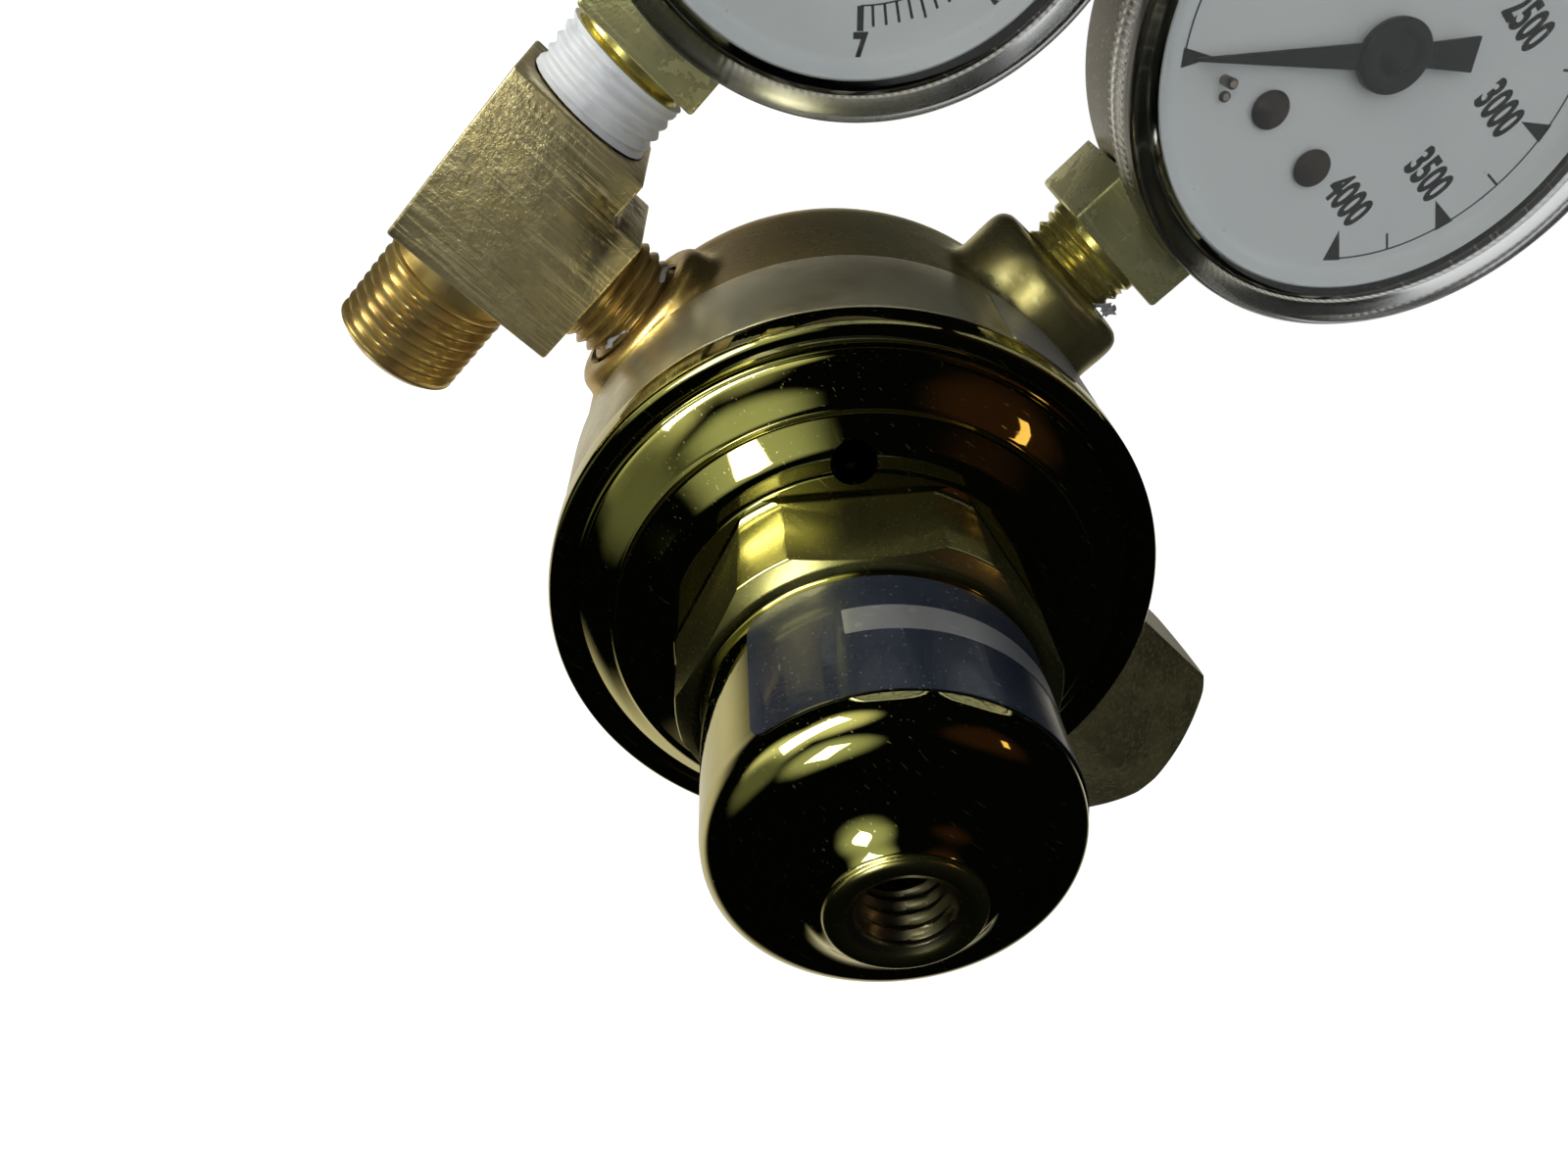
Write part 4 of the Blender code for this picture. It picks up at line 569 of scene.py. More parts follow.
def make_patches():
    """Cloudy patches such as tarnish or mottling, as a mask."""
    group, given, made = new_group("Patches", {"Scale": 200.0, "Detail": 4.0, "From": 0.45,
                                               "To": 0.6, "Seed": 0.0}, ["Mask"])
    cloud = add(group, "TexNoise", {"Vector": seeded_place(group, given),
                                    "Scale": given.outputs["Scale"],
                                    "Detail": given.outputs["Detail"],
                                    "Roughness": PATCH_ROUGHNESS})
    mask = range_map(group, cloud.outputs["Fac"], given.outputs["From"], given.outputs["To"])
    group.links.new(mask, made.inputs["Mask"])
    return group


def make_scratches():
    """Fine straight scratches in three directions, as a mask."""
    group, given, made = new_group("Scratches", {"Scale": 300.0, "From": 0.66, "To": 0.72,
                                                 "Seed": 0.0}, ["Mask"])
    place = seeded_place(group, given)
    total = None
    for turn in SCRATCH_TURNS:
        laid = add(group, "Mapping", {"Vector": place, "Rotation": turn,
                                      "Scale": (SCRATCH_STRETCH, 1.0, 1.0)})
        line = add(group, "TexNoise", {"Vector": laid.outputs[0], "Detail": 1.0,
                                       "Scale": given.outputs["Scale"]})
        mask = range_map(group, line.outputs["Fac"], given.outputs["From"], given.outputs["To"])
        if total is None:
            total = mask
        else:
            total = add(group, "Math", {0: total, 1: mask}, operation="MAXIMUM").outputs[0]
    group.links.new(total, made.inputs["Mask"])
    return group


def make_edge_wear_and_hollow_shade():
    """Bright worn edges and painted shade in the inner corners, from how sharp the surface bends.
    """
    group, given, made = new_group("Edge wear and hollow shade", {"From": 0.53, "To": 0.6}, ["Edge", "Corner"])
    bend = add(group, "NewGeometry").outputs["Pointiness"]
    edge = range_map(group, bend, given.outputs["From"], given.outputs["To"])
    # The corner mask is painted shade, darker where the surface bends inwards.
    corner = range_map(group, bend, HOLLOW_FROM, HOLLOW_FULL)
    group.links.new(edge, made.inputs["Edge"])
    group.links.new(corner, made.inputs["Corner"])
    return group


def make_grain():
    """A fine even grain, as a height."""
    group, given, made = new_group("Grain", {"Scale": 2500.0}, ["Height"])
    speck = add(group, "TexNoise", {"Vector": object_place(group), "Detail": 3.0,
                                    "Scale": given.outputs["Scale"],
                                    "Roughness": GRAIN_ROUGHNESS})
    group.links.new(speck.outputs["Fac"], made.inputs["Height"])
    return group


def make_turning():
    """Lathe marks: rings that change along the axis and outwards, as a height."""
    group, given, made = new_group("Turning marks", {"Scale": 6000.0}, ["Height"])
    axes = object_axes(group)
    line = add(group, "Math", {0: axis_reach(group, axes), 1: axes[2]}, operation="ADD")
    rings = add(group, "TexNoise", {"W": line.outputs[0], "Scale": given.outputs["Scale"],
                                    "Detail": 2.0}, noise_dimensions="1D")
    group.links.new(rings.outputs["Fac"], made.inputs["Height"])
    return group


EFFECTS = {"patches": make_patches(), "scratches": make_scratches(), "edges": make_edge_wear_and_hollow_shade(),
           "grain": make_grain(), "turning": make_turning()}


class Finish:
    """One material: a Principled shader whose colour, roughness and relief are built up."""

    def __init__(self, name, color, metallic, roughness, **sockets):
        self.material = bpy.data.materials.new(name)
        self.material.use_nodes = True
        self.tree = self.material.node_tree
        self.shader = self.tree.nodes["Principled BSDF"]
        self.color = (*color, 1.0)
        self.roughness = roughness
        self.relief = None
        self.shader.inputs["Metallic"].default_value = metallic
        for socket, value in sockets.items():
            self.shader.inputs[socket.replace("_", " ")].default_value = value

    def effect(self, kind, output="Mask", **values):
        """One of the shared effects, with its own values."""
        node = self.tree.nodes.new("ShaderNodeGroup")
        node.node_tree = EFFECTS[kind]
        for socket, value in values.items():
            node.inputs[socket].default_value = value
        return node.outputs[output]

    def tint(self, mask, color, amount=1.0):
        """Lay another colour over this one where the mask is."""
        share = product(self.tree, mask, amount)
        self.color = laid_over(self.tree, share, self.color, (*color, 1.0))

    def mottle(self, color, amount, **values):
        """Patches of another colour."""
        self.tint(self.effect("patches", **values), color, amount)

    def scratch(self, color, amount, **values):
        """Scratches of another colour."""
        self.tint(self.effect("scratches", **values), color, amount)

    def wear_edges(self, color, amount, **values):
        """Outer edges rubbed to another colour."""
        self.tint(self.effect("edges", "Edge", **values), color, amount)

    def shade_corners(self, color, amount, **values):
        """Painted shade darkening the inner corners."""
        self.tint(self.effect("edges", "Corner", **values), color, amount)

    def roughen(self, mask, roughness, amount=1.0):
        """Lay another roughness over this one where the mask is."""
        share = product(self.tree, mask, amount)
        mix = add(self.tree, "Mix", {"Factor": share, 2: self.roughness, 3: roughness},
                  data_type="FLOAT")
        self.roughness = mix.outputs[0]

    def raise_by(self, height, distance, strength=1.0):
        """Add relief of a given depth in millimetres."""
        inputs = {"Height": height, "Distance": distance * MM, "Strength": strength}
        if self.relief:
            inputs["Normal"] = self.relief
        self.relief = add(self.tree, "Bump", inputs).outputs[0]

    def dent(self, distance, strength, **values):
        """Soft dents or creases of a given depth in millimetres."""
        self.raise_by(self.effect("patches", **values), distance, strength)

    def grain(self, scale, distance, strength):
        """A fine grain of a given depth in millimetres."""
        self.raise_by(self.effect("grain", "Height", Scale=scale), distance, strength)

    def done(self):
        """Connect what was built up and return the material."""
        feed(self.tree, self.shader.inputs["Base Color"], self.color)
        feed(self.tree, self.shader.inputs["Roughness"], self.roughness)
        if self.relief:
            self.tree.links.new(self.relief, self.shader.inputs["Normal"])
        return self.material


def polished_brass():
    """Mirror-polished brass with fine scratches, smudges and pits, painted shade in its inner
    corners and nose hole, and a satin hexagon.
    """
    f = Finish("polished_brass", (0.60, 0.56, 0.24), 1.0, 0.03)
    smudge = f.effect("patches", Scale=90.0, From=0.45, To=0.75)
    f.roughen(smudge, 0.06, 0.6)
    f.tint(smudge, (0.50, 0.45, 0.17), 0.6)
    axes = object_axes(f.tree)
    along = axes[2]
    above = range_map(f.tree, along, (SHOULDER_FRONT + 0.3) * MM, (SHOULDER_FRONT + 1.0) * MM)
    below = range_map(f.tree, along, (HEX_FRONT + 0.9) * MM, (HEX_FRONT + 1.2) * MM, 1.0, 0.0)
    f.roughen(product(f.tree, above, below), 0.24)
    nose = range_map(f.tree, along, (NOSE_FRONT - 1.0) * MM, (NOSE_FRONT - 0.6) * MM)
    f.roughen(nose, 0.20)
    # Painted shade: the threaded hole in the nose darkened and made duller.
    hole = range_map(f.tree, axis_reach(f.tree, axes), (NOSE_THREAD_RADIUS + 0.7) * MM,
                     (NOSE_THREAD_RADIUS + 0.4) * MM)
    f.tint(hole, (0.22, 0.19, 0.15), 0.9)
    f.roughen(hole, 0.28)
    scratch = f.effect("scratches", Scale=3600.0, From=0.735, To=0.765)
    f.roughen(scratch, 0.30, 0.8)
    f.tint(scratch, (0.74, 0.72, 0.42), 0.5)
    # Painted shade: the inner corners darkened and made duller.
    corner = f.effect("edges", "Corner")
    f.tint(corner, (0.08, 0.06, 0.03), 0.8)
    f.roughen(corner, 0.5)
    f.mottle((0.10, 0.08, 0.04), 0.7, Scale=4500.0, From=0.74, To=0.80, Seed=3.0)
    f.raise_by(smudge, 0.02, 0.3)
    return f.done()


def satin_brass():
    """The forging's cleaned satin surface, with a painted warm reflection turning it golden towards
    its outlet side.
    """
    f = Finish("satin_brass", (0.62, 0.57, 0.26), 0.92, 0.26)
    cloud = f.effect("patches", Scale=110.0, From=0.4, To=0.7)
    f.tint(cloud, (0.36, 0.28, 0.11), 0.75)
    f.roughen(cloud, 0.36)
    # Painted warm reflected light: the forging tinted golden towards its outlet side.
    outlet_side = range_map(f.tree, object_axes(f.tree)[0], -GOLD_FROM * MM, -GOLD_FULL * MM)
    f.tint(outlet_side, (0.68, 0.45, 0.14), 0.75)
    f.mottle((0.22, 0.16, 0.08), 0.6, Scale=420.0, From=0.64, To=0.72, Seed=5.0)
    f.wear_edges((0.78, 0.70, 0.42), 0.6)
    f.scratch((0.75, 0.66, 0.40), 0.4, Scale=700.0)
    f.grain(1500.0, 0.05, 0.35)
    return f.done()


def machined_brass():
    """Pale turned brass with lathe rings."""
    f = Finish("machined_brass", (0.62, 0.58, 0.40), 0.85, 0.24)
    f.mottle((0.42, 0.35, 0.20), 0.75, Scale=80.0, From=0.42, To=0.68, Seed=2.0)
    f.scratch((0.72, 0.66, 0.46), 0.5, Scale=500.0)
    f.raise_by(f.effect("turning", "Height", Scale=9000.0), 0.01, 0.5)
    return f.done()


def yellow_brass():
    """Bright yellow brass with dark tarnish patches, for the wrench blocks."""
    f = Finish("yellow_brass", (0.60, 0.56, 0.15), 0.75, 0.27)
    f.mottle((0.26, 0.24, 0.07), 0.85, Scale=150.0, From=0.42, To=0.60)
    f.scratch((1.0, 0.97, 0.56), 0.7, Scale=1900.0, From=0.63, To=0.69)
    f.scratch((0.14, 0.12, 0.06), 0.8, Scale=3000.0, From=0.68, To=0.73, Seed=3.0)
    stain = f.effect("patches", Scale=210.0, From=0.52, To=0.54, Seed=7.0)
    f.tint(stain, (0.085, 0.08, 0.06), 0.9)
    f.roughen(stain, 0.5)
    f.mottle((0.07, 0.055, 0.035), 0.85, Scale=1300.0, From=0.62, To=0.65, Seed=1.0)
    f.wear_edges((0.95, 0.90, 0.50), 0.7)
    f.grain(1400.0, 0.07, 0.6)
    return f.done()


def stem_brass():
    """Clean yellow brass of the gauges' threaded stems, with painted shade in the thread roots."""
    f = Finish("stem_brass", (0.76, 0.68, 0.24), 0.85, 0.24)
    f.mottle((0.52, 0.43, 0.14), 0.7, Scale=260.0, From=0.45, To=0.62)
    # Painted shade: the thread roots darkened.
    f.shade_corners((0.14, 0.11, 0.05), 0.8)
    f.grain(1500.0, 0.03, 0.3)
    return f.done()


def tarnished_bar():
    """Old drawn bar: brown-gold with dark stains and bright scratches."""
    f = Finish("tarnished_bar", (0.40, 0.30, 0.11), 0.75, 0.33)
    gold = f.effect("patches", Scale=120.0, From=0.44, To=0.60, Seed=9.0)
    f.tint(gold, (0.66, 0.50, 0.17), 0.85)
    f.mottle((0.19, 0.16, 0.10), 0.85, Scale=95.0, From=0.47, To=0.56)
    f.mottle((0.15, 0.11, 0.05), 0.75, Scale=900.0, From=0.50, To=0.64, Seed=2.0)
    bright = f.effect("scratches", Scale=2300.0, From=0.61, To=0.66)
    shown = f.effect("patches", Scale=180.0, From=0.40, To=0.55, Seed=11.0)
    f.tint(product(f.tree, bright, shown), (1.0, 0.84, 0.46), 0.9)
    f.scratch((0.07, 0.055, 0.035), 0.85, Scale=3000.0, From=0.63, To=0.68, Seed=5.0)
    stain = f.effect("patches", Scale=260.0, From=0.56, To=0.62, Seed=4.0)
    f.tint(stain, (0.09, 0.075, 0.06), 0.85)
    f.roughen(stain, 0.50)
    f.wear_edges((0.80, 0.68, 0.38), 0.6)
    f.dent(0.09, 0.6, Scale=600.0, From=0.3, To=0.8, Seed=6.0)
    f.grain(1600.0, 0.10, 0.7)
    return f.done()


def thread_brass():
    """Golden-orange brass of the cut threads, with painted shade in their roots."""
    f = Finish("thread_brass", (0.60, 0.44, 0.16), 0.8, 0.29)
    f.mottle((0.36, 0.23, 0.08), 0.7, Scale=200.0, From=0.42, To=0.62)
    f.wear_edges((0.72, 0.56, 0.26), 0.6, From=0.52, To=0.58)
    # Painted shade: the thread roots darkened.
    f.shade_corners((0.14, 0.09, 0.04), 0.8)
    f.grain(1500.0, 0.03, 0.3)
    return f.done()


def nut_brass():
    """Dark olive-brown tarnished brass of the coupling nut."""
    f = Finish("nut_brass", (0.30, 0.27, 0.12), 0.8, 0.32)
    f.mottle((0.15, 0.13, 0.06), 0.8, Scale=120.0, From=0.40, To=0.65)
    f.mottle((0.10, 0.08, 0.05), 0.6, Scale=500.0, From=0.58, To=0.70, Seed=6.0)
    f.wear_edges((0.52, 0.44, 0.24), 0.6)
    f.scratch((0.50, 0.44, 0.24), 0.5, Scale=2400.0, From=0.60, To=0.68)
    f.grain(900.0, 0.05, 0.4)
    return f.done()


def inner_brass():
    """Clean machined brass of the inner pieces."""
    f = Finish("inner_brass", (0.68, 0.54, 0.25), 1.0, 0.28)
    f.mottle((0.50, 0.38, 0.16), 0.5, Scale=260.0)
    f.raise_by(f.effect("turning", "Height", Scale=8000.0), 0.01, 0.4)
    return f.done()


def case_metal():
    """Dark brown case metal with handling marks."""
    f = Finish("case_metal", (0.055, 0.050, 0.038), 0.9, 0.28)
    f.mottle((0.030, 0.026, 0.020), 0.8, Scale=90.0, From=0.42, To=0.66)
    f.wear_edges((0.50, 0.46, 0.36), 0.6)
    f.scratch((0.36, 0.33, 0.26), 0.5, Scale=2400.0, From=0.68, To=0.73)
    return f.done()


def clear_plastic():
    """Clear window plastic with faint rubbing marks."""
    f = Finish("clear_plastic", (0.90, 0.92, 0.92), 0.0, 0.06, Transmission_Weight=1.0,
               IOR=1.47)
    rub = f.effect("scratches", Scale=2400.0, From=0.72, To=0.77)
    f.roughen(rub, 0.22, 0.6)
    reach = axis_reach(f.tree, object_axes(f.tree))
    skirt = range_map(f.tree, reach, (CASE_RADIUS - 1.6) * MM, (CASE_RADIUS - 0.4) * MM)
    f.tint(skirt, (0.50, 0.51, 0.50), 0.85)
    f.roughen(skirt, 0.20)
    return f.done()


def dial_white():
    """White dial paint with a little dust and grime."""
    f = Finish("dial_white", (0.86, 0.88, 0.92), 0.0, 0.42)
    f.mottle((0.78, 0.80, 0.84), 0.7, Scale=60.0, From=0.35, To=0.8)
    f.mottle((0.42, 0.42, 0.44), 0.6, Scale=900.0, From=0.68, To=0.74, Seed=8.0)
    return f.done()


def ink_black():
    """Printed black of the dials and the pointers' paint."""
    f = Finish("ink_black", (0.008, 0.008, 0.009), 0.0, 0.38, Specular_IOR_Level=0.15)
    f.mottle((0.025, 0.024, 0.024), 0.7, Scale=700.0, From=0.60, To=0.72)
    return f.done()


def dark_steel():
    """Blackened steel with a warm sheen."""
    f = Finish("dark_steel", (0.028, 0.020, 0.014), 1.0, 0.20)
    f.mottle((0.014, 0.011, 0.009), 0.7, Scale=500.0)
    f.wear_edges((0.40, 0.34, 0.26), 0.5)
    return f.done()


def plated_steel():
    """Plated steel of springs and rings."""
    f = Finish("plated_steel", (0.55, 0.55, 0.56), 1.0, 0.28)
    f.mottle((0.38, 0.38, 0.38), 0.5, Scale=300.0)
    f.grain(2000.0, 0.02, 0.3)
    return f.done()


def spring_bronze():
    """Coppery bronze of the tubes, hairsprings and sintered filter."""
    f = Finish("spring_bronze", (0.60, 0.40, 0.22), 1.0, 0.36)
    f.mottle((0.40, 0.25, 0.13), 0.6, Scale=350.0)
    f.grain(3000.0, 0.05, 0.6)
    return f.done()


def black_rubber():
    """Fabric-backed rubber of the diaphragm."""
    f = Finish("black_rubber", (0.03, 0.03, 0.03), 0.0, 0.75)
    f.mottle((0.06, 0.06, 0.06), 0.6, Scale=400.0)
    f.grain(2500.0, 0.05, 0.6)
    return f.done()


def seat_plastic():
    """Off-white plastic of the valve seat."""
    f = Finish("seat_plastic", (0.82, 0.82, 0.77), 0.0, 0.4)
    f.mottle((0.72, 0.72, 0.66), 0.5, Scale=600.0)
    return f.done()


def white_tape():
    """Soft white thread tape, with painted shade greying its folds."""
    f = Finish("white_tape", (0.70, 0.71, 0.74), 0.0, 0.5)
    f.mottle((0.52, 0.53, 0.57), 0.6, Scale=300.0, From=0.45, To=0.75)
    # Painted shade: the folds of the tape greyed.
    f.shade_corners((0.26, 0.27, 0.30), 0.85, From=0.5)
    f.grain(1800.0, 0.06, 0.5)
    return f.done()


def blue_foil():
    """Navy printed foil with creases and rubbed spots."""
    f = Finish("blue_foil", (0.014, 0.018, 0.028), 0.0, 0.24, Coat_Weight=0.4, Coat_Roughness=0.06)
    f.mottle((0.022, 0.028, 0.040), 0.8, Scale=120.0, From=0.42, To=0.7)
    f.scratch((0.16, 0.17, 0.19), 0.5, Scale=3600.0, From=0.73, To=0.77)
    f.dent(0.06, 0.5, Scale=260.0, From=0.3, To=0.8)
    return f.done()


def bare_foil():
    """Bare aluminium foil of the blank strip and the blank seal."""
    f = Finish("bare_foil", (0.46, 0.46, 0.47), 0.8, 0.34)
    f.mottle((0.40, 0.41, 0.44), 0.7, Scale=200.0, From=0.4, To=0.7)
    f.scratch((0.70, 0.71, 0.74), 0.5, Scale=420.0)
    f.dent(0.04, 0.5, Scale=420.0, From=0.3, To=0.8)
    return f.done()


POLISHED = polished_brass()
SATIN = satin_brass()
MACHINED = machined_brass()
YELLOW = yellow_brass()
STEM = stem_brass()
BAR = tarnished_bar()
THREAD = thread_brass()
NUT = nut_brass()
INNER = inner_brass()
CASE = case_metal()
CLEAR = clear_plastic()
DIAL = dial_white()
INK_BLACK = ink_black()
DARK = dark_steel()
PLATED = plated_steel()
BRONZE = spring_bronze()
RUBBER = black_rubber()
SEAT = seat_plastic()
TAPE = white_tape()
FOIL = blue_foil()
BARE_FOIL = bare_foil()


# Body, bonnet and label


def make_body():
    """Forged body: one flowing skin round its bosses, then the machined bores."""
    rear = -BODY_DEPTH
    drum = [(-BAND_DEPTH + 0.5, 0), (-BAND_DEPTH + 0.5, BODY_RADIUS),
            (rear, BODY_RADIUS, BODY_CORNER), (rear, 0)]
    skin = turned("body", soft(drum, 6), FINE_STEPS)
    for reach, radius, place in PORTS:
        boss = soft([(BOSS_ROOT, 0), (BOSS_ROOT, radius), (reach, radius, 2.2), (reach, 0)], 5)
        skin = worked(skin, turned("boss", boss), "UNION", FLANGE.inverted() @ place)
    skin = eased(skin, FORGED_GRID, FORGED_PASSES)

    bore = [(1, 0), (1, COUNTERBORE_RADIUS), (COUNTERBORE_FLOOR, COUNTERBORE_RADIUS),
            (COUNTERBORE_FLOOR, CHAMBER_RADIUS), (CHAMBER_FLOOR, CHAMBER_RADIUS),
            (CHAMBER_FLOOR, VALVE_BORE_RADIUS), (-VALVE_BORE_END, VALVE_BORE_RADIUS),
            (-VALVE_BORE_END, 0)]
    skin = worked(skin, turned("bore", bore))
    for reach, _, place in PORTS:
        end = reach - PIPE_ENGAGED - 1.2
        mouth = STEM_MOUTH if place is UPWARD else PIPE_BORE
        hole = [(end, 0), (end, mouth - 0.4), (reach - 0.6, mouth),
                (reach + 0.4, mouth + 0.9), (reach + 0.4, 0)]
        skin = worked(skin, turned("hole", hole, SMALL_STEPS), turn=FLANGE.inverted() @ place)
    piece("body_forging", skin, FLANGE, SATIN, "forged_brass", "body")

    band = [(-SEAT_GAP, BAND_RADIUS, 0.5), (-BAND_DEPTH, BAND_RADIUS, 0.3),
            (-BAND_DEPTH, BODY_RADIUS - 1), (COUNTERBORE_FLOOR, BODY_RADIUS - 1),
            (COUNTERBORE_FLOOR, COUNTERBORE_RADIUS), (-SEAT_GAP, COUNTERBORE_RADIUS)]
    band = turned("body_band", soft(band), FINE_STEPS)
    piece("body_band", band, FLANGE, MACHINED, "forged_brass")


def eased(mesh, grid, passes):
    """Remesh a blank evenly and smooth it, so that its joins flow as in a forging."""
    blank = linked(mesh.name, mesh)
    voxels = blank.modifiers.new("voxels", "REMESH")
    voxels.mode = "VOXEL"
    voxels.voxel_size = grid * MM
    smoothing = blank.modifiers.new("smoothing", "SMOOTH")
    smoothing.iterations = passes
    smoothing.factor = 0.5
    result = settled(blank, mesh.name)
    bpy.data.objects.remove(blank)
    return result


def make_bonnet():
    """Polished bonnet with its lip, band, hexagon, sleeve, dome and threaded nose."""
    outer = soft([(0.0, FLANGE_RADIUS, 0.5), (LIP_DEPTH, FLANGE_RADIUS, 2.6),
                  (LIP_DEPTH - 0.1, GROOVE_RADIUS + 0.7, 0.4),
                  (LIP_DEPTH - 0.7, GROOVE_RADIUS, 0.4),
                  (LIP_DEPTH, GROOVE_RADIUS - 0.5, 0.3), (LIP_DEPTH + 1.4, CONE_RADIUS, 1.0),
                  (BAND_FRONT, BAND_INNER_RADIUS, 0.3),
                  (BAND_FRONT + 0.35, BAND_INNER_RADIUS - 0.35, 0.25),
                  (BAND_FRONT + 0.05, BAND_INNER_RADIUS - 0.8, 0.3),
                  (SHOULDER_FRONT, SHOULDER_RADIUS, 0.7), (SHOULDER_FRONT, HEX_ROOT_RADIUS, 0.6),
                  (SHOULDER_FRONT + 0.9, HEX_TURNED_RADIUS, 0.5),
                  (HEX_FRONT - 0.1, HEX_TURNED_RADIUS, 0.25),
                  (HEX_FRONT + 0.9, HEX_CHAMFER_RADIUS, 0.2),
                  (HEX_FRONT + 1.1, SLEEVE_RADIUS, 0.2), (SLEEVE_FRONT - 1.4, SLEEVE_RADIUS)])
    base = SLEEVE_FRONT
    dome = flowing([(base - 1.4, SLEEVE_RADIUS), (base, SLEEVE_RADIUS - 0.02),
                    (base + 1.7, SLEEVE_RADIUS - 0.35), (base + 3.0, 14.7), (base + 3.85, 13.4),
                    (base + 4.3, 12.0), (base + 4.75, 10.6), (base + 5.25, 9.4),
                    (base + 5.85, 8.35), (base + 6.45, 7.55), (base + 7.0, 6.75),
                    (base + 7.3, 6.45), (base + 7.7, 6.4), (NOSE_FRONT - 0.1, 6.0),
                    (NOSE_FRONT, 5.45), (NOSE_FRONT - 0.1, 4.95)], 5)
    thread = threaded(NOSE_FRONT - 0.6, SPRING_BORE_FRONT, NOSE_THREAD_RADIUS, NOSE_THREAD_DEPTH)
    inside = [(NOSE_FRONT - 0.3, 4.6), (NOSE_FRONT - 0.45, 4.4)] + thread
    inside += [(SPRING_BORE_FRONT, SPRING_BORE_NECK), (SPRING_BORE_FRONT - 3.2, SPRING_BORE_RADIUS),
               (SPRING_BORE_REAR, SPRING_BORE_RADIUS), (SPRING_BORE_REAR, SHOULDER_RADIUS + 0.4),
               (0.0, SPIGOT_BORE), (-SPIGOT_DEPTH, SPIGOT_BORE), (-SPIGOT_DEPTH, SPIGOT_RADIUS),
               (0.0, SPIGOT_RADIUS)]
    bonnet = turned("bonnet", outer + dome + inside, FINE_STEPS, helix(PIPE_PITCH))
    ring = worked(rod(HEX_BLANK_RADIUS, SHOULDER_FRONT + 0.15, HEX_FRONT + 1.05, ROUND_STEPS),
                  prism("hexagon", hexagon(HEX_FLATS, HEX_TURN + 30), 0, SLEEVE_FRONT))
    bonnet = worked(bonnet, ring)
    vent = rod(VENT_RADIUS, 2.0, SHOULDER_FRONT + 2.0)
    spot = Matrix.Rotation(radians(VENT_ANGLE), 4, "Z") @ placed(VENT_OFFSET, 0, 0)
    bonnet = worked(bonnet, vent, turn=spot, sharp=28.0)
    piece("bonnet_shell", bonnet, FLANGE, POLISHED, "polished_brass", "bonnet")


def wrapped(name, start, sweep, low, high, radius, thickness, corner, columns=48):
    """A thin rounded sheet wrapped round z, from an angle clockwise."""
    bm = bmesh.new()
    rings = []
    arc_length = radians(sweep) * radius
    for i in range(columns + 1):
        run = arc_length * (0.5 - 0.5 * cos(pi * i / columns))
        edge = min(run, arc_length - run)
        inset = corner - sqrt(max(0.0, corner ** 2 - max(0.0, corner - edge) ** 2))
        angle = radians(start) - run / radius
        ring = []
        for r, z in ((radius, low + inset), (radius + thickness, low + inset),
                     (radius + thickness, high - inset), (radius, high - inset)):
            ring.append(bm.verts.new((r * cos(angle) * MM, r * sin(angle) * MM, z * MM)))
        rings.append(ring)
    for one, two in zip(rings, rings[1:]):
        for j in range(4):
            k = (j + 1) % 4
            bm.faces.new((one[j], one[k], two[k], two[j]))
    bm.faces.new(rings[0])
    bm.faces.new(rings[-1])
    return to_mesh(bm, name)


def make_label():
    """Blank navy foil label with its blank bare strip, and the blank seal on the body."""
    radius = SLEEVE_RADIUS + FOIL_GAP
    foil = wrapped("label_foil", LABEL_START, LABEL_SWEEP, LABEL_REAR, LABEL_FRONT, radius,
                   FOIL_THICKNESS, LABEL_CORNER, 72)
    piece("label_foil", foil, FLANGE, FOIL, "blue_foil", "data_label")
    strip = wrapped("label_strip", STRIP_START, STRIP_SWEEP, STRIP_REAR, STRIP_FRONT,
                    radius + FOIL_THICKNESS, STRIP_THICKNESS, 0.2)
    piece("label_strip", strip, FLANGE, BARE_FOIL, "blue_foil")
    seal = wrapped("body_seal", SEAL_START, SEAL_SWEEP, SEAL_REAR, SEAL_FRONT, BAND_RADIUS + 0.03,
                   SEAL_THICKNESS, 0.5)
    piece("body_seal", seal, FLANGE, BARE_FOIL, "blue_foil")


# Inlet


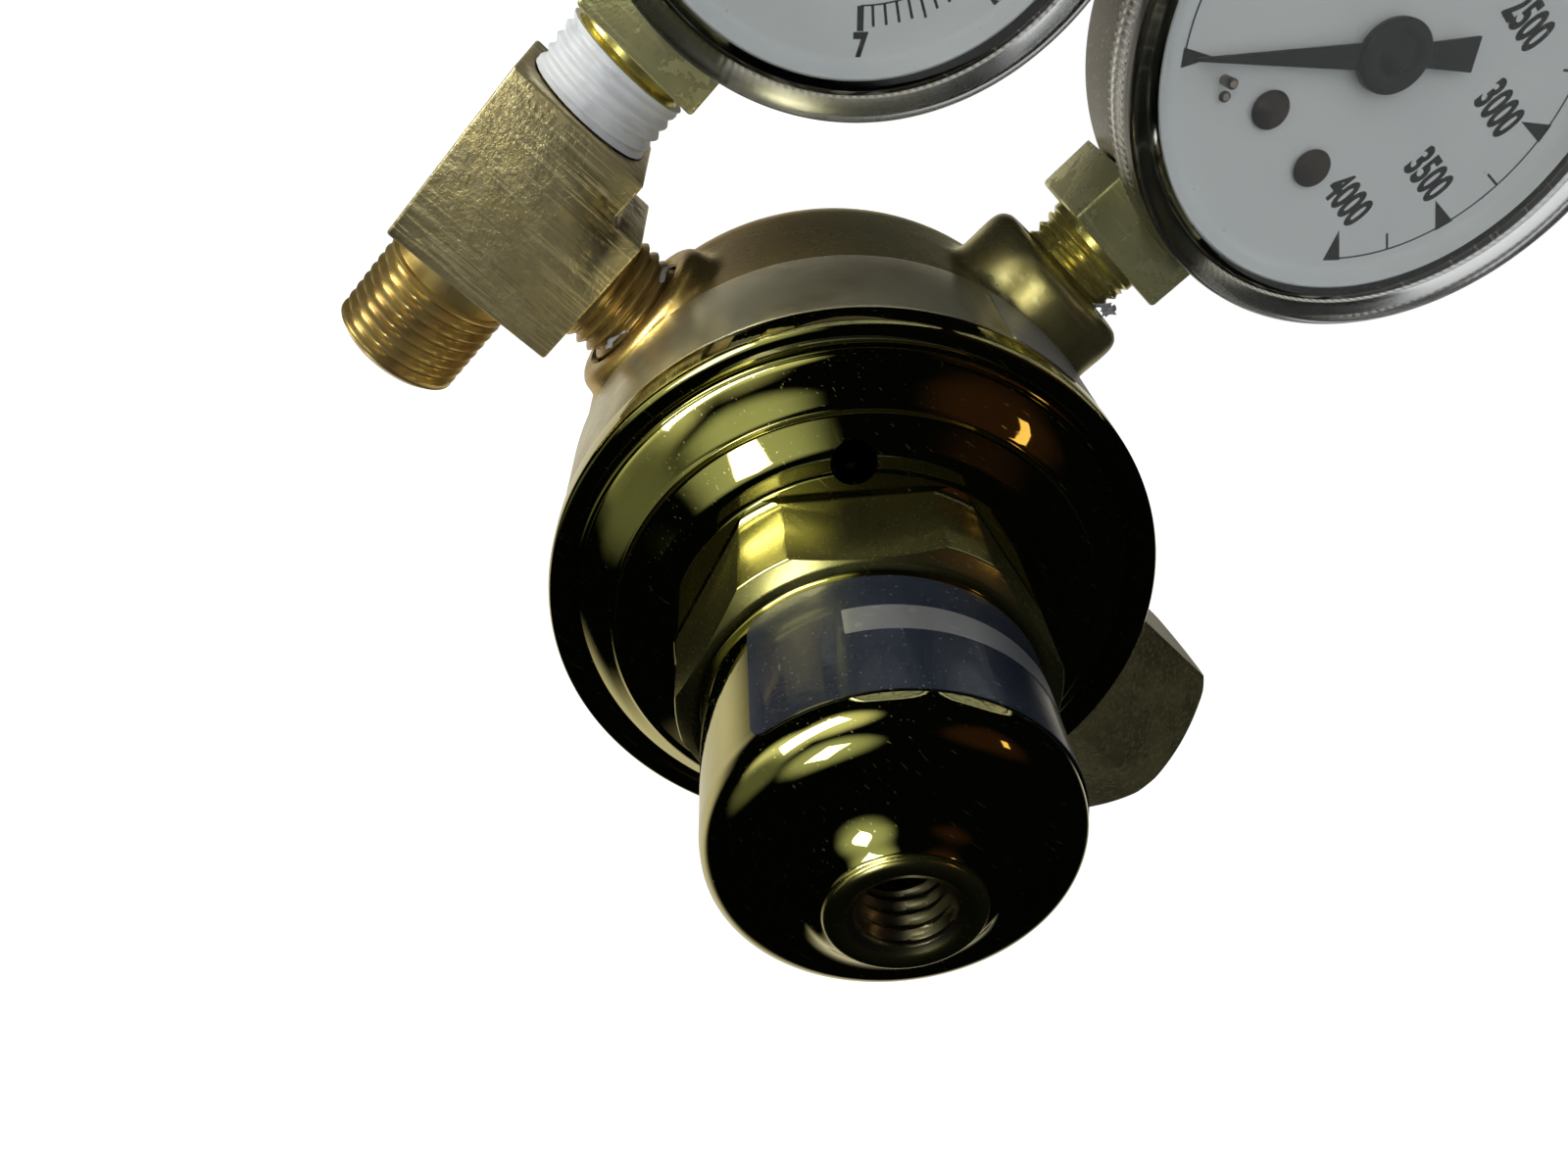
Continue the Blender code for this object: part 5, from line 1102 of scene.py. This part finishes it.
def make_inlet():
    """Coupling nut, nipple and filter."""
    corner = NUT_FLATS / sqrt(3)
    face = NUT_FLATS / 2 - 1.2
    wall = NUT_REAR + NUT_WALL
    front = INLET_LENGTH
    thread = threaded(front - 1.2, wall + 1.0, NUT_THREAD_RADIUS, NUT_THREAD_DEPTH, NUT_PITCH)
    outline = soft([(wall, NUT_THREAD_RADIUS), (wall, NIPPLE_RADIUS + 0.3),
                    (NUT_REAR, NIPPLE_RADIUS + 0.3), (NUT_REAR, face, 0.6),
                    (NUT_REAR + 1.7, corner - 0.25), (front - 2.4, corner - 0.25, 1.0),
                    (front - 0.9, face + 1.0, 0.8), (front, face - 0.4, 0.6),
                    (front, NUT_THREAD_RADIUS + 0.6)])
    nut = turned("inlet_nut", outline + thread, FINE_STEPS, helix(NUT_PITCH))
    ring = worked(rod(HEX_BLANK_RADIUS, NUT_REAR - 1, front + 1, ROUND_STEPS),
                  prism("hexagon", hexagon(NUT_FLATS, 180 - NUT_TURN), 0, front + 20))
    nut = worked(nut, ring, sharp=24.0)
    piece("coupling_nut", nut, INLET, NUT, "tarnished_brass", "inlet_nut", body="inlet_nut")

    tip = INLET_LENGTH - 5.0
    shoulder = tip - 7.5
    bore = FILTER_RADIUS + 0.15
    start = INLET_BOSS_REACH - PIPE_ENGAGED
    nipple = soft([(start, PASSAGE_RADIUS), (start, PIPE_RADIUS - 0.8, 0.3),
                   (INLET_BOSS_REACH, PIPE_RADIUS), (INLET_BOSS_REACH + 0.5, NIPPLE_RADIUS),
                   (shoulder - 3.5, NIPPLE_RADIUS), (shoulder - 3.5, NIPPLE_SHOULDER_RADIUS, 0.6),
                   (shoulder, NIPPLE_SHOULDER_RADIUS, 0.8), (shoulder + 3.4, 7.4, 1.6),
                   (tip - 0.6, 5.0, 1.0), (tip, bore + 0.9, 0.5), (tip, bore, 0.2),
                   (tip - 10.6, bore), (tip - 10.6, PASSAGE_RADIUS)])
    nipple = turned("nipple", nipple)
    piece("nipple", nipple, INLET, MACHINED, "turned_brass", "inlet_nipple")
    inner = FILTER_RADIUS - FILTER_WALL
    thimble = soft([(tip - 10.0, inner), (tip - 10.0, FILTER_RADIUS),
                    (tip - 0.6, FILTER_RADIUS, 0.8), (tip - 0.6, 0), (tip - 1.8, 0),
                    (tip - 1.8, inner)])
    thimble = turned("filter_thimble", thimble, SMALL_STEPS)
    piece("filter_thimble", thimble, INLET, BRONZE, "spring_bronze", "inlet_filter")


# Outlet tee and tape


def make_tee():
    """Bar tee with its threaded branch, outlet and gauge port."""
    half = TEE_BAR / 2
    inner = TEE_OUTER - TEE_BAR
    outline = [(-TEE_OUTER, -TEE_BOTTOM), (-TEE_BRANCH_FACE, -TEE_BOTTOM),
               (-TEE_BRANCH_FACE, half + 0.35), (-inner + 0.8, half + 0.35),
               (-inner, half + 1.1), (-inner, TEE_TOP), (-TEE_OUTER, TEE_TOP)]
    bar = prism("outlet_tee", outline, -half, half, 0.35)
    to_bar = placed(BODY_X, 0, 0, FACING).inverted()

    end = OUTLET_BOSS_REACH - PIPE_ENGAGED
    thread = threaded(TEE_BRANCH_FACE - 0.4, end + 0.4, PIPE_RADIUS + 0.1, 0.75, taper=PIPE_TAPER)
    branch = [(TEE_BRANCH_FACE + 1, 0), (TEE_BRANCH_FACE + 1, PIPE_RADIUS)] + thread
    branch += [(end, PIPE_RADIUS - 0.9), (end, 0)]
    branch = turned("branch", branch, cut=helix(PIPE_PITCH))

    low = -TEE_BOTTOM - OUTLET_LENGTH
    neck = -TEE_BOTTOM - OUTLET_NECK
    thread = threaded(neck, low + 0.7, OUTLET_RADIUS, 0.62)
    outlet = [(-TEE_BOTTOM + 1, 0), (-TEE_BOTTOM + 1, OUTLET_RADIUS - 0.45),
              (neck + 0.2, OUTLET_RADIUS - 0.45)] + thread + [(low, OUTLET_RADIUS - 0.85), (low, 0)]
    stub = turned("outlet_stub", outlet, cut=helix(PIPE_PITCH))
    step = low + OUTLET_BORE_DEPTH
    bore = soft([(low - 1, 0), (low - 1, OUTLET_BORE_RADIUS + 1.4), (low + 0.5, OUTLET_BORE_RADIUS),
                 (step, OUTLET_BORE_RADIUS), (step + 1.2, TEE_WELL_RADIUS),
                 (TEE_TOP - PIPE_ENGAGED, TEE_WELL_RADIUS),
                 (TEE_TOP - PIPE_ENGAGED, STEM_MOUTH - 0.3), (TEE_TOP - 0.5, STEM_MOUTH),
                 (TEE_TOP + 1, STEM_MOUTH + 1.2), (TEE_TOP + 1, 0)])
    bore = turned("port", bore)
    bar = worked(bar, bore, turn=to_bar @ RUN)
    passage = rod(TEE_PASSAGE_RADIUS, end - 2, -middle("delivery_window").x + BODY_X)
    bar = worked(bar, passage, turn=to_bar @ OUTLET_SIDE)
    stub = worked(stub, bore)
    piece("tee_bar", bar, to_bar.inverted(), BAR, "tarnished_brass", "outlet_tee")
    piece("outlet_stub", stub, RUN, THREAD, "tarnished_brass")
    branch = worked(branch, rod(TEE_PASSAGE_RADIUS, end - 2, TEE_BRANCH_FACE + 2))
    piece("branch_stub", branch, OUTLET_SIDE, THREAD, "tarnished_brass")


def make_tape():
    """Thread tape wound round the delivery gauge's stem."""
    low = TEE_TOP + SEAT_GAP
    high = TEE_TOP + TAPE_TOP - 1.2
    inner = STEM_RADIUS + 0.05
    outer = threaded(low, high, inner + 0.62, 0.45)
    tape = turned("tape_wrap", [(low, inner)] + outer + [(high, inner)], cut=helix(PIPE_PITCH),
                  sharp=60.0)
    for v in tape.vertices:
        if hypot(v.co.x, v.co.y) > (inner + 0.1) * MM:
            lift = noise.noise(v.co * 420.0) * 0.12 + noise.noise(v.co * 1500.0) * 0.05
            v.co.x *= 1 + lift / inner
            v.co.y *= 1 + lift / inner
    piece("tape_wrap", tape, RUN, TAPE, "white_tape", "thread_tape")


def shred(name, path, width, seed):
    """A torn curl of tape along a few points."""
    draw = random.Random(seed)
    bm = bmesh.new()
    rows = []
    for knot in flowing(path, 5):
        spot = Vector(knot)
        lean = Vector((0.4, -0.5, 0.9)) + Vector([draw.uniform(-0.5, 0.5) for _ in range(3)])
        half = lean.normalized() * width * draw.uniform(0.45, 0.8)
        rows.append([bm.verts.new((spot + half * s) * MM) for s in (-1, 0, 1)])
    for one, two in zip(rows, rows[1:]):
        for j in range(2):
            bm.faces.new((one[j], one[j + 1], two[j + 1], two[j]))
    bmesh.ops.solidify(bm, geom=list(bm.faces), thickness=0.09 * MM)
    piece(name, to_mesh(bm, name, 60.0), Matrix.Identity(4), TAPE, "white_tape")


def make_shreds():
    """Bits of tape squeezed out at the two pipe joints."""
    x = BODY_X
    top = CONTENTS_BOSS_REACH + 0.4
    side = BODY_X - OUTLET_BOSS_REACH - 0.5
    paths = (((x + 4.6, -5.4, top), (x + 5.7, -4.2, top + 0.5), (x + 6.5, -2.4, top + 0.3),
              (x + 6.9, -0.6, top + 0.9)),
             ((x + 2.2, -6.6, top + 0.1), (x + 3.4, -6.3, top + 0.7), (x + 5.0, -5.4, top + 0.3)),
             ((side, -6.8, -3.2), (side - 0.5, -7.1, -1.6), (side, -7.4, 0.2)),
             ((side, -4.6, 5.9), (side - 0.6, -3.0, 6.8), (side, -1.0, 7.4)))
    for i, (path, width) in enumerate(zip(paths, (1.2, 1.2, 0.8, 0.8)), 1):
        shred("tape_shred_%d" % i, path, width, i)


# Gauges


def clock(reach, degrees):
    """A point on a dial, clockwise from twelve."""
    return (reach * sin(radians(degrees)), reach * cos(radians(degrees)))


def make_socket(tag, place):
    """Wrench block with its threaded stem and the neck into the case."""
    low = -BLOCK_TO_CENTRE
    half = BLOCK_WIDTH / 2
    body = block("socket", (-half, low, -half), (half, low + BLOCK_HEIGHT, half), 0.45)
    body = worked(body, rod(CASE_RADIUS + SEAT_GAP, -20, 20, FINE_STEPS))
    neck = block("neck", (-NECK_WIDTH / 2, low + 4, -NECK_DEPTH / 2),
                 (NECK_WIDTH / 2, -CASE_RADIUS + 2.4, NECK_DEPTH / 2))
    body = worked(body, neck, "UNION")
    arm = block("arm", (-4.4, -CASE_RADIUS + 1.6, -3.9), (4.4, -12.4, 3.0))
    body = worked(body, arm, "UNION")
    end = low - STEM_LENGTH
    thread = threaded(low - 1.4, end + 0.4, STEM_RADIUS, 0.62, taper=PIPE_TAPER)
    stem = [(low + 0.5, 0), (low + 0.5, STEM_RADIUS + 0.1), (low - 0.7, STEM_RADIUS + 0.1),
            (low - 1.2, STEM_RADIUS - 0.45)] + thread + [(end, STEM_RADIUS - 1.0), (end, 0)]
    stem = turned("stem", stem, cut=helix(PIPE_PITCH))
    up = Matrix.Rotation(radians(-90), 4, "X")
    body = worked(body, rod(STEM_PASSAGE_RADIUS, end - 1, -15.0), turn=up)
    slot = block("tube_slot", (-6.3, -18.2, -2.7), (-3.7, -11.4, 2.7))
    body = worked(body, slot, sharp=24.0)
    piece(tag + "_wrench_block", body, place, YELLOW, "tarnished_brass", tag + "_socket")
    stem = worked(stem, rod(STEM_PASSAGE_RADIUS, end - 1, low + 1))
    piece(tag + "_stem", stem, place @ up, STEM, "tarnished_brass")


def make_case(tag, place):
    """Drawn metal cup behind the window."""
    wall = CASE_RADIUS - CASE_WALL
    cup = soft([(-CASE_BACK, 0), (-CASE_BACK, CASE_RADIUS - 5.0, 0.8),
                (-CASE_BACK + 1.0, CASE_RADIUS - 3.6, 0.8), (-CASE_BACK + 1.0, CASE_RADIUS, 2.4),
                (CASE_FRONT, CASE_RADIUS, 0.3), (CASE_FRONT, wall, 0.3),
                (-CASE_BACK + 2.0, wall, 1.6), (-CASE_BACK + 2.0, 0)], 6)
    case = turned("case", cup, FINE_STEPS)
    side = NECK_WIDTH / 2 + 0.3
    half = NECK_DEPTH / 2 + 0.3
    slot = block("slot", (-side, -CASE_RADIUS - 2, -half), (side, -CASE_RADIUS + 4, half))
    case = worked(case, slot)
    piece(tag + "_cup", case, place, CASE, "case_steel", tag + "_case")


def make_window(tag, place):
    """Clear snap-on window with a knurled skirt."""
    inner = CASE_RADIUS + SEAT_GAP
    outer = inner + WINDOW_WALL
    face = WINDOW_FRONT - WINDOW_FACE
    skirt = [(WINDOW_REAR, inner), (WINDOW_REAR, outer - 0.35), (WINDOW_REAR + 0.4, outer, 0.12),
             (KNURL_FRONT - 0.3, outer, 0.12), (KNURL_FRONT, outer - 0.1, 0.0)]
    front = soft([(KNURL_FRONT + 0.3, outer - 0.35), (KNURL_FRONT + 0.6, outer - 0.05),
                  (WINDOW_FRONT, outer - 0.05, 1.2), (WINDOW_FRONT, 0), (face, 0),
                  (face, inner - 1.6, 0.6), (face - 1.2, inner, 0.4)], 5)
    window = turned("window", skirt + front, KNURLS * 4, lambda z, share: groove(share * KNURLS))
    piece(tag + "_lens", window, place, CLEAR, "clear_window", tag + "_window")


def make_dial(tag, place):
    """Dished white dial with its stop pin and two screws."""
    rim = DIAL_FRONT + DIAL_RIM
    back = DIAL_FRONT - DIAL_THICKNESS
    plate = soft([(back, DIAL_HOLE_RADIUS), (back, DIAL_FLAT_RADIUS + 0.3, 0.4),
                  (rim - 0.3, DIAL_RADIUS, 0.1), (rim, DIAL_RADIUS - 0.25, 0.15),
                  (DIAL_FRONT, DIAL_FLAT_RADIUS, 0.7), (DIAL_FRONT, DIAL_HOLE_RADIUS)])
    dial = turned("dial", plate, FINE_STEPS)
    shank = DIAL_SCREW_RADIUS / 2
    spots = [placed(side * DIAL_SCREW_X, DIAL_SCREW_Y, 0) for side in (-1, 1)]
    for spot in spots:
        dial = worked(dial, rod(shank + 0.15, back - 1, DIAL_FRONT + 1), turn=spot)
    piece(tag + "_dial_plate", dial, place, DIAL, "white_dial", tag + "_dial")

    for label, degrees, height in (("stop_pin", STOP_PIN_CLOCK, 2.2),
                                   ("rest_pin", REST_PIN_CLOCK, 0.5)):
        x, y = clock(STOP_PIN_REACH, degrees)
        top = DIAL_FRONT + height
        pin = turned(label, soft([(DIAL_FRONT - 0.2, 0), (DIAL_FRONT - 0.2, 0.5),
                                  (top, 0.5, 0.3), (top, 0)]), SMALL_STEPS)
        piece("%s_%s" % (tag, label), pin, place @ placed(x, y, 0), DARK, "white_dial")
    seat = DIAL_FRONT + 0.15
    screw = [(DIAL_FRONT - 2.7, 0), (DIAL_FRONT - 2.7, shank), (seat, shank),
             (seat, DIAL_SCREW_RADIUS)]
    screw += flowing([(seat, DIAL_SCREW_RADIUS), (seat + 0.35, DIAL_SCREW_RADIUS),
                      (seat + 0.72, DIAL_SCREW_RADIUS * 0.7), (seat + 0.88, 0.35)], 4)
    screw += [(seat + 0.70, 0.18), (seat + 0.66, 0)]
    for i, spot in enumerate(spots, 1):
        name = "%s_dial_screw_%d" % (tag, i)
        head = turned(name, screw, SMALL_STEPS)
        piece(name + "_head", head, place @ spot, DARK, "dark_steel", name)


def make_pointer(tag, place):
    """Tapered black pointer with a flared tail and a round hub."""
    blade = [(POINTER_LENGTH, -0.16), (POINTER_LENGTH, 0.16), (POINTER_HUB_RADIUS - 0.4, 1.15),
             (-POINTER_HUB_RADIUS + 0.4, 1.05), (-POINTER_TAIL, 1.55), (-POINTER_TAIL, -1.55),
             (-POINTER_HUB_RADIUS + 0.4, -1.05), (POINTER_HUB_RADIUS - 0.4, -1.15)]
    back = POINTER_BACK
    front = back + POINTER_THICKNESS
    pointer = prism("pointer", blade, back, front, 0.06)
    hub = turned("hub", soft([(back - 0.3, 0), (back - 0.3, POINTER_HUB_RADIUS, 0.2),
                              (front + 0.45, POINTER_HUB_RADIUS, 0.4),
                              (front + 0.6, POINTER_HUB_RADIUS - 0.9, 0.3),
                              (front + 0.35, 1.6, 0.3), (front + 0.95, 0.9, 0.3),
                              (front + 1.1, 0)]), SMALL_STEPS)
    pointer = worked(pointer, hub, "UNION")
    turn = Matrix.Rotation(radians(90 - ZERO_CLOCK), 4, "Z")
    piece(tag + "_hand", pointer, place @ turn, INK_BLACK, "black_paint", tag + "_pointer",
          body=tag + "_pointer_group")


def stroke(bm, outline):
    """One printed shape on the dial."""
    low = DIAL_FRONT + 0.005
    rings = [[bm.verts.new((x * MM, y * MM, z * MM)) for x, y in outline]
             for z in (low, low + INK)]
    bm.faces.new(rings[0])
    bm.faces.new(rings[1])
    for i in range(len(outline)):
        k = (i + 1) % len(outline)
        bm.faces.new((rings[0][i], rings[0][k], rings[1][k], rings[1][i]))


def scale_angles(count):
    """Clock angles that share out a dial's sweep, from zero to full scale."""
    return [ZERO_CLOCK + SWEEP * i / count for i in range(count + 1)]


def arc_stroke(bm, radius, width):
    """The thin printed arc of a scale, in short runs."""
    inner = radius - width / 2
    outer = radius + width / 2
    angles = scale_angles(ARC_RUNS)
    for a, b in zip(angles, angles[1:]):
        stroke(bm, [clock(inner, a), clock(outer, a), clock(outer, b), clock(inner, b)])


def tick(bm, degrees, inner, outer, width):
    """A printed radial tick."""
    along = Vector(clock(1, degrees))
    across = Vector((along.y, -along.x)) * width / 2
    a, b = along * inner, along * outer
    stroke(bm, [tuple(a - across), tuple(a + across), tuple(b + across), tuple(b - across)])


def number(bm, words, centre, height, turn=0.0, squeeze=0.62, weight=0.04):
    """A printed plain number."""
    curve = bpy.data.curves.new("number", "FONT")
    curve.body = words
    curve.align_x = "CENTER"
    curve.align_y = "CENTER"
    curve.size = 1.0
    curve.offset = weight
    curve.extrude = INK / 2
    curve.resolution_u = 4
    text = linked("number", curve)
    mesh = settled(text, "number")
    size = height / 0.7
    flat = Matrix.Diagonal((size * squeeze * MM, size * MM, MM, 1))
    spot = placed(*centre, DIAL_FRONT + INK / 2 + 0.005, (0, 0, radians(turn)))
    mesh.transform(spot @ flat)
    bm.from_mesh(mesh)
    bpy.data.objects.remove(text)
    bpy.data.meshes.remove(mesh)


def print_dial(tag, bm):
    """Turn the printed shapes into one piece on the dial."""
    bmesh.ops.recalc_face_normals(bm, faces=bm.faces)
    piece(tag + "_print", filled(bm, tag + "_print"), GAUGES[tag], INK_BLACK, "black_paint")


def print_contents_dial():
    """Scale of 0 to 4000 with triangles every 500."""
    bm = bmesh.new()
    radius = CONTENTS_SCALE
    arc_stroke(bm, radius, 0.16)
    for i, angle in enumerate(scale_angles(16)):
        if i % 2:
            tick(bm, angle, CONTENTS_TICK, radius, 0.22)
            continue
        tip = clock(CONTENTS_TRIANGLE, angle)
        stroke(bm, [tip, clock(radius + 0.2, angle - 2.6), clock(radius + 0.2, angle + 2.6)])
        if i:
            reach = CONTENTS_TOP_NUMBERS if i in (6, 8, 10) else CONTENTS_NUMBERS
            number(bm, str(250 * i), clock(reach, angle), 2.9)
    print_dial("contents", bm)


def print_delivery_dial():
    """Outer scale of 0 to 7 and inner scale of 0 to 100."""
    bm = bmesh.new()
    radius = DELIVERY_OUTER_SCALE
    arc_stroke(bm, radius, 0.14)
    for i, angle in enumerate(scale_angles(70)):
        whole = i % 10 == 0
        tick(bm, angle, radius, 17.9 if i % 5 == 0 else 17.6, 0.6 if whole else 0.26)
        if whole:
            up = 180 - angle if abs((angle - 180) % 360 - 180) > 95 or i in (0, 70) else -angle
            number(bm, str(i // 10), clock(DELIVERY_OUTER_NUMBERS, angle), 2.4, up, 0.75)
    inner = DELIVERY_INNER_SCALE
    arc_stroke(bm, inner, 0.14)
    for i, angle in enumerate(scale_angles(50)):
        whole = i % 10 == 0
        tick(bm, angle, 12.9 if whole else 13.8, inner, 0.34 if whole else 0.16)
        if whole:
            number(bm, str(2 * i), clock(DELIVERY_INNER_NUMBERS, angle), 2.6)
    print_dial("delivery", bm)


def make_gauges():
    """Both gauges."""
    for tag, place in GAUGES.items():
        for make in (make_socket, make_case, make_window, make_dial, make_pointer):
            make(tag, place)
    print_contents_dial()
    print_delivery_dial()


def make_adjuster():
    """Socket set screw deep in the nose."""
    rear = SET_SCREW_REAR
    front = SET_SCREW_FRONT
    screw = soft([(rear, 0), (rear, 1.6), (rear + 1.2, SET_SCREW_RADIUS),
                  (front, SET_SCREW_RADIUS, 0.4), (front, 0)])
    mesh = worked(turned("set_screw", screw, SMALL_STEPS),
                  prism("socket", hexagon(SET_SCREW_SOCKET), front - 4.0, front + 1))
    piece("set_screw", mesh, FLANGE, DARK, "dark_steel", "adjusting_screw",
          body="adjusting_screw")


def refinish_inner_pieces():
    """Better materials on the CAD nodes that stay."""
    for node, finish in (("slip_ring", PLATED), ("diaphragm", RUBBER), ("diaphragm_plate", INNER),
                         ("diaphragm_rivet", INNER), ("nozzle", INNER), ("valve_poppet", PLATED),
                         ("seat_disc", SEAT), ("poppet_spring", PLATED), ("range_spring", PLATED),
                         ("spring_button", PLATED)):
        refinish(node, finish)
    for tag in GAUGES:
        for part in ("movement_frame", "movement_cover", "sector", "link", "tube_end"):
            refinish("%s_%s" % (tag, part), INNER)
        refinish(tag + "_pinion", DARK)
        for part in ("pressure_tube", "hairspring"):
            refinish("%s_%s" % (tag, part), BRONZE)


# Stage


def make_camera():
    """The photograph's camera."""
    forward = Vector(CAMERA_FORWARD).normalized()
    right = forward.cross(Vector(CAMERA_UP)).normalized()
    up = right.cross(forward)
    camera = bpy.data.cameras.new("camera")
    camera.lens = CAMERA_LENS
    camera.sensor_width = SENSOR_WIDTH
    camera.clip_start = CAMERA_NEAR
    turn = Matrix((right, up, -forward)).transposed().to_4x4()
    bpy.context.scene.camera = linked("camera", camera, placed(*CAMERA_PLACE) @ turn)
    return right, up, forward


def from_view(axes, angle, turn):
    """A direction by its angle from the camera's side and its turn anticlockwise in the picture."""
    right, up, forward = axes
    a, t = radians(angle), radians(turn)
    return right * sin(a) * cos(t) + up * sin(a) * sin(t) - forward * cos(a)


def make_room(axes):
    """What polished metal shows in each direction: a dark room, a pale bench behind the part."""
    group = bpy.data.node_groups.new("Room", "ShaderNodeTree")
    group.interface.new_socket("Direction", in_out="INPUT", socket_type="NodeSocketVector")
    group.interface.new_socket("Color", in_out="OUTPUT", socket_type="NodeSocketColor")
    way = group.nodes.new("NodeGroupInput").outputs["Direction"]
    room = (*ROOM_DARK, 1)
    for angle, turn, far, near, color in ROOM_GLOWS:
        aim = tuple(from_view(axes, angle, turn))
        depth = add(group, "VectorMath", {0: way, 1: aim}, operation="DOT_PRODUCT")
        glow = range_map(group, depth.outputs["Value"], cos(radians(far)), cos(radians(near)))
        room = laid_over(group, glow, room, (*color, 1))
    group.links.new(room, group.nodes.new("NodeGroupOutput").inputs["Color"])
    return group


def room_color(tree, group, way):
    """The room's colour in a direction."""
    node = tree.nodes.new("ShaderNodeGroup")
    node.node_tree = group
    tree.links.new(way, node.inputs["Direction"])
    return node.outputs["Color"]


def background_rays(tree):
    """Light Path, and a mask of the rays that see the plain white background."""
    path = add(tree, "LightPath")
    seen = add(tree, "Math", {0: path.outputs["Is Camera Ray"],
                              1: path.outputs["Is Transmission Ray"]}, operation="MAXIMUM")
    return path, seen.outputs[0]


def make_floor(room):
    """A pale floor far below the part. Polished metal sees the room in its place."""
    bm = bmesh.new()
    bmesh.ops.create_grid(bm, x_segments=1, y_segments=1, size=FLOOR_REACH)
    floor = linked("floor", filled(bm, "floor"))
    floor.location = (BODY_X * MM, 0, cad_low.z - FLOOR_DROP * MM)
    mat = bpy.data.materials.new("floor")
    mat.use_nodes = True
    tree = mat.node_tree
    shader = tree.nodes["Principled BSDF"]
    shader.inputs["Roughness"].default_value = 0.9
    shader.inputs["Specular IOR Level"].default_value = 0.0
    path, seen = background_rays(tree)
    glossy = path.outputs["Is Glossy Ray"]
    paint = laid_over(tree, glossy, (*FLOOR_COLOR, 1), (0, 0, 0, 1))
    feed(tree, shader.inputs["Base Color"], paint)
    place = add(tree, "NewGeometry").outputs["Position"]
    way = add(tree, "VectorMath", {0: place, 1: tuple(lamp_target())}, operation="SUBTRACT")
    way = add(tree, "VectorMath", {0: way.outputs[0]}, operation="NORMALIZE")
    glow = laid_over(tree, glossy, WHITE, room_color(tree, room, way.outputs[0]))
    feed(tree, shader.inputs["Emission Color"], glow)
    strength = add(tree, "Math", {0: seen, 1: FLOOR_GLOW, 2: glossy}, operation="MULTIPLY_ADD")
    feed(tree, shader.inputs["Emission Strength"], strength.outputs[0])
    floor.data.materials.append(mat)


def make_world(room):
    """White behind the part, soft even light on it, and the room in polished metal."""
    world = bpy.data.worlds.new("room")
    bpy.context.scene.world = world
    world.use_nodes = True
    tree = world.node_tree
    way = add(tree, "TexCoord").outputs["Generated"]
    path, seen = background_rays(tree)
    lit = laid_over(tree, path.outputs["Is Glossy Ray"], (*SOFT_LIGHT, 1),
                    room_color(tree, room, way))
    shown = laid_over(tree, seen, lit, WHITE)
    feed(tree, tree.nodes["Background"].inputs["Color"], shown)


def lamp_target():
    """The base of the bonnet's dome, which the lamps and the room are placed about."""
    return Vector((BODY_X, FLANGE_Y - SLEEVE_FRONT, 0)) * MM


def lamp(name, axes, angle, turn, lean, size, glow, color):
    """A panel of light aimed at the bonnet's dome, as bright to see as its glow says."""
    away = from_view(axes, angle, turn)
    light = bpy.data.lights.new(name, "AREA")
    light.shape = "RECTANGLE"
    light.size, light.size_y = size
    light.energy = POWER_OF_GLOW * glow * size[0] * size[1]
    light.color = color
    side = axes[0] * cos(radians(lean)) + axes[1] * sin(radians(lean))
    side = (side - away * side.dot(away)).normalized()
    turned_to = Matrix((side, away.cross(side), away)).transposed().to_4x4()
    linked(name, light, Matrix.Translation(lamp_target() + away * LAMP_REACH) @ turned_to)


def make_lamps(axes):
    """Long key at the upper left, a window beside the camera and a golden light to the right."""
    for name, settings in LAMPS.items():
        lamp(name, axes, *settings)


make_body()
make_bonnet()
make_label()
make_inlet()
make_tee()
make_tape()
make_shreds()
make_gauges()
make_adjuster()
refinish_inner_pieces()
view_axes = make_camera()
shown_room = make_room(view_axes)
make_floor(shown_room)
make_world(shown_room)
make_lamps(view_axes)
bpy.context.scene.view_settings.view_transform = "Standard"
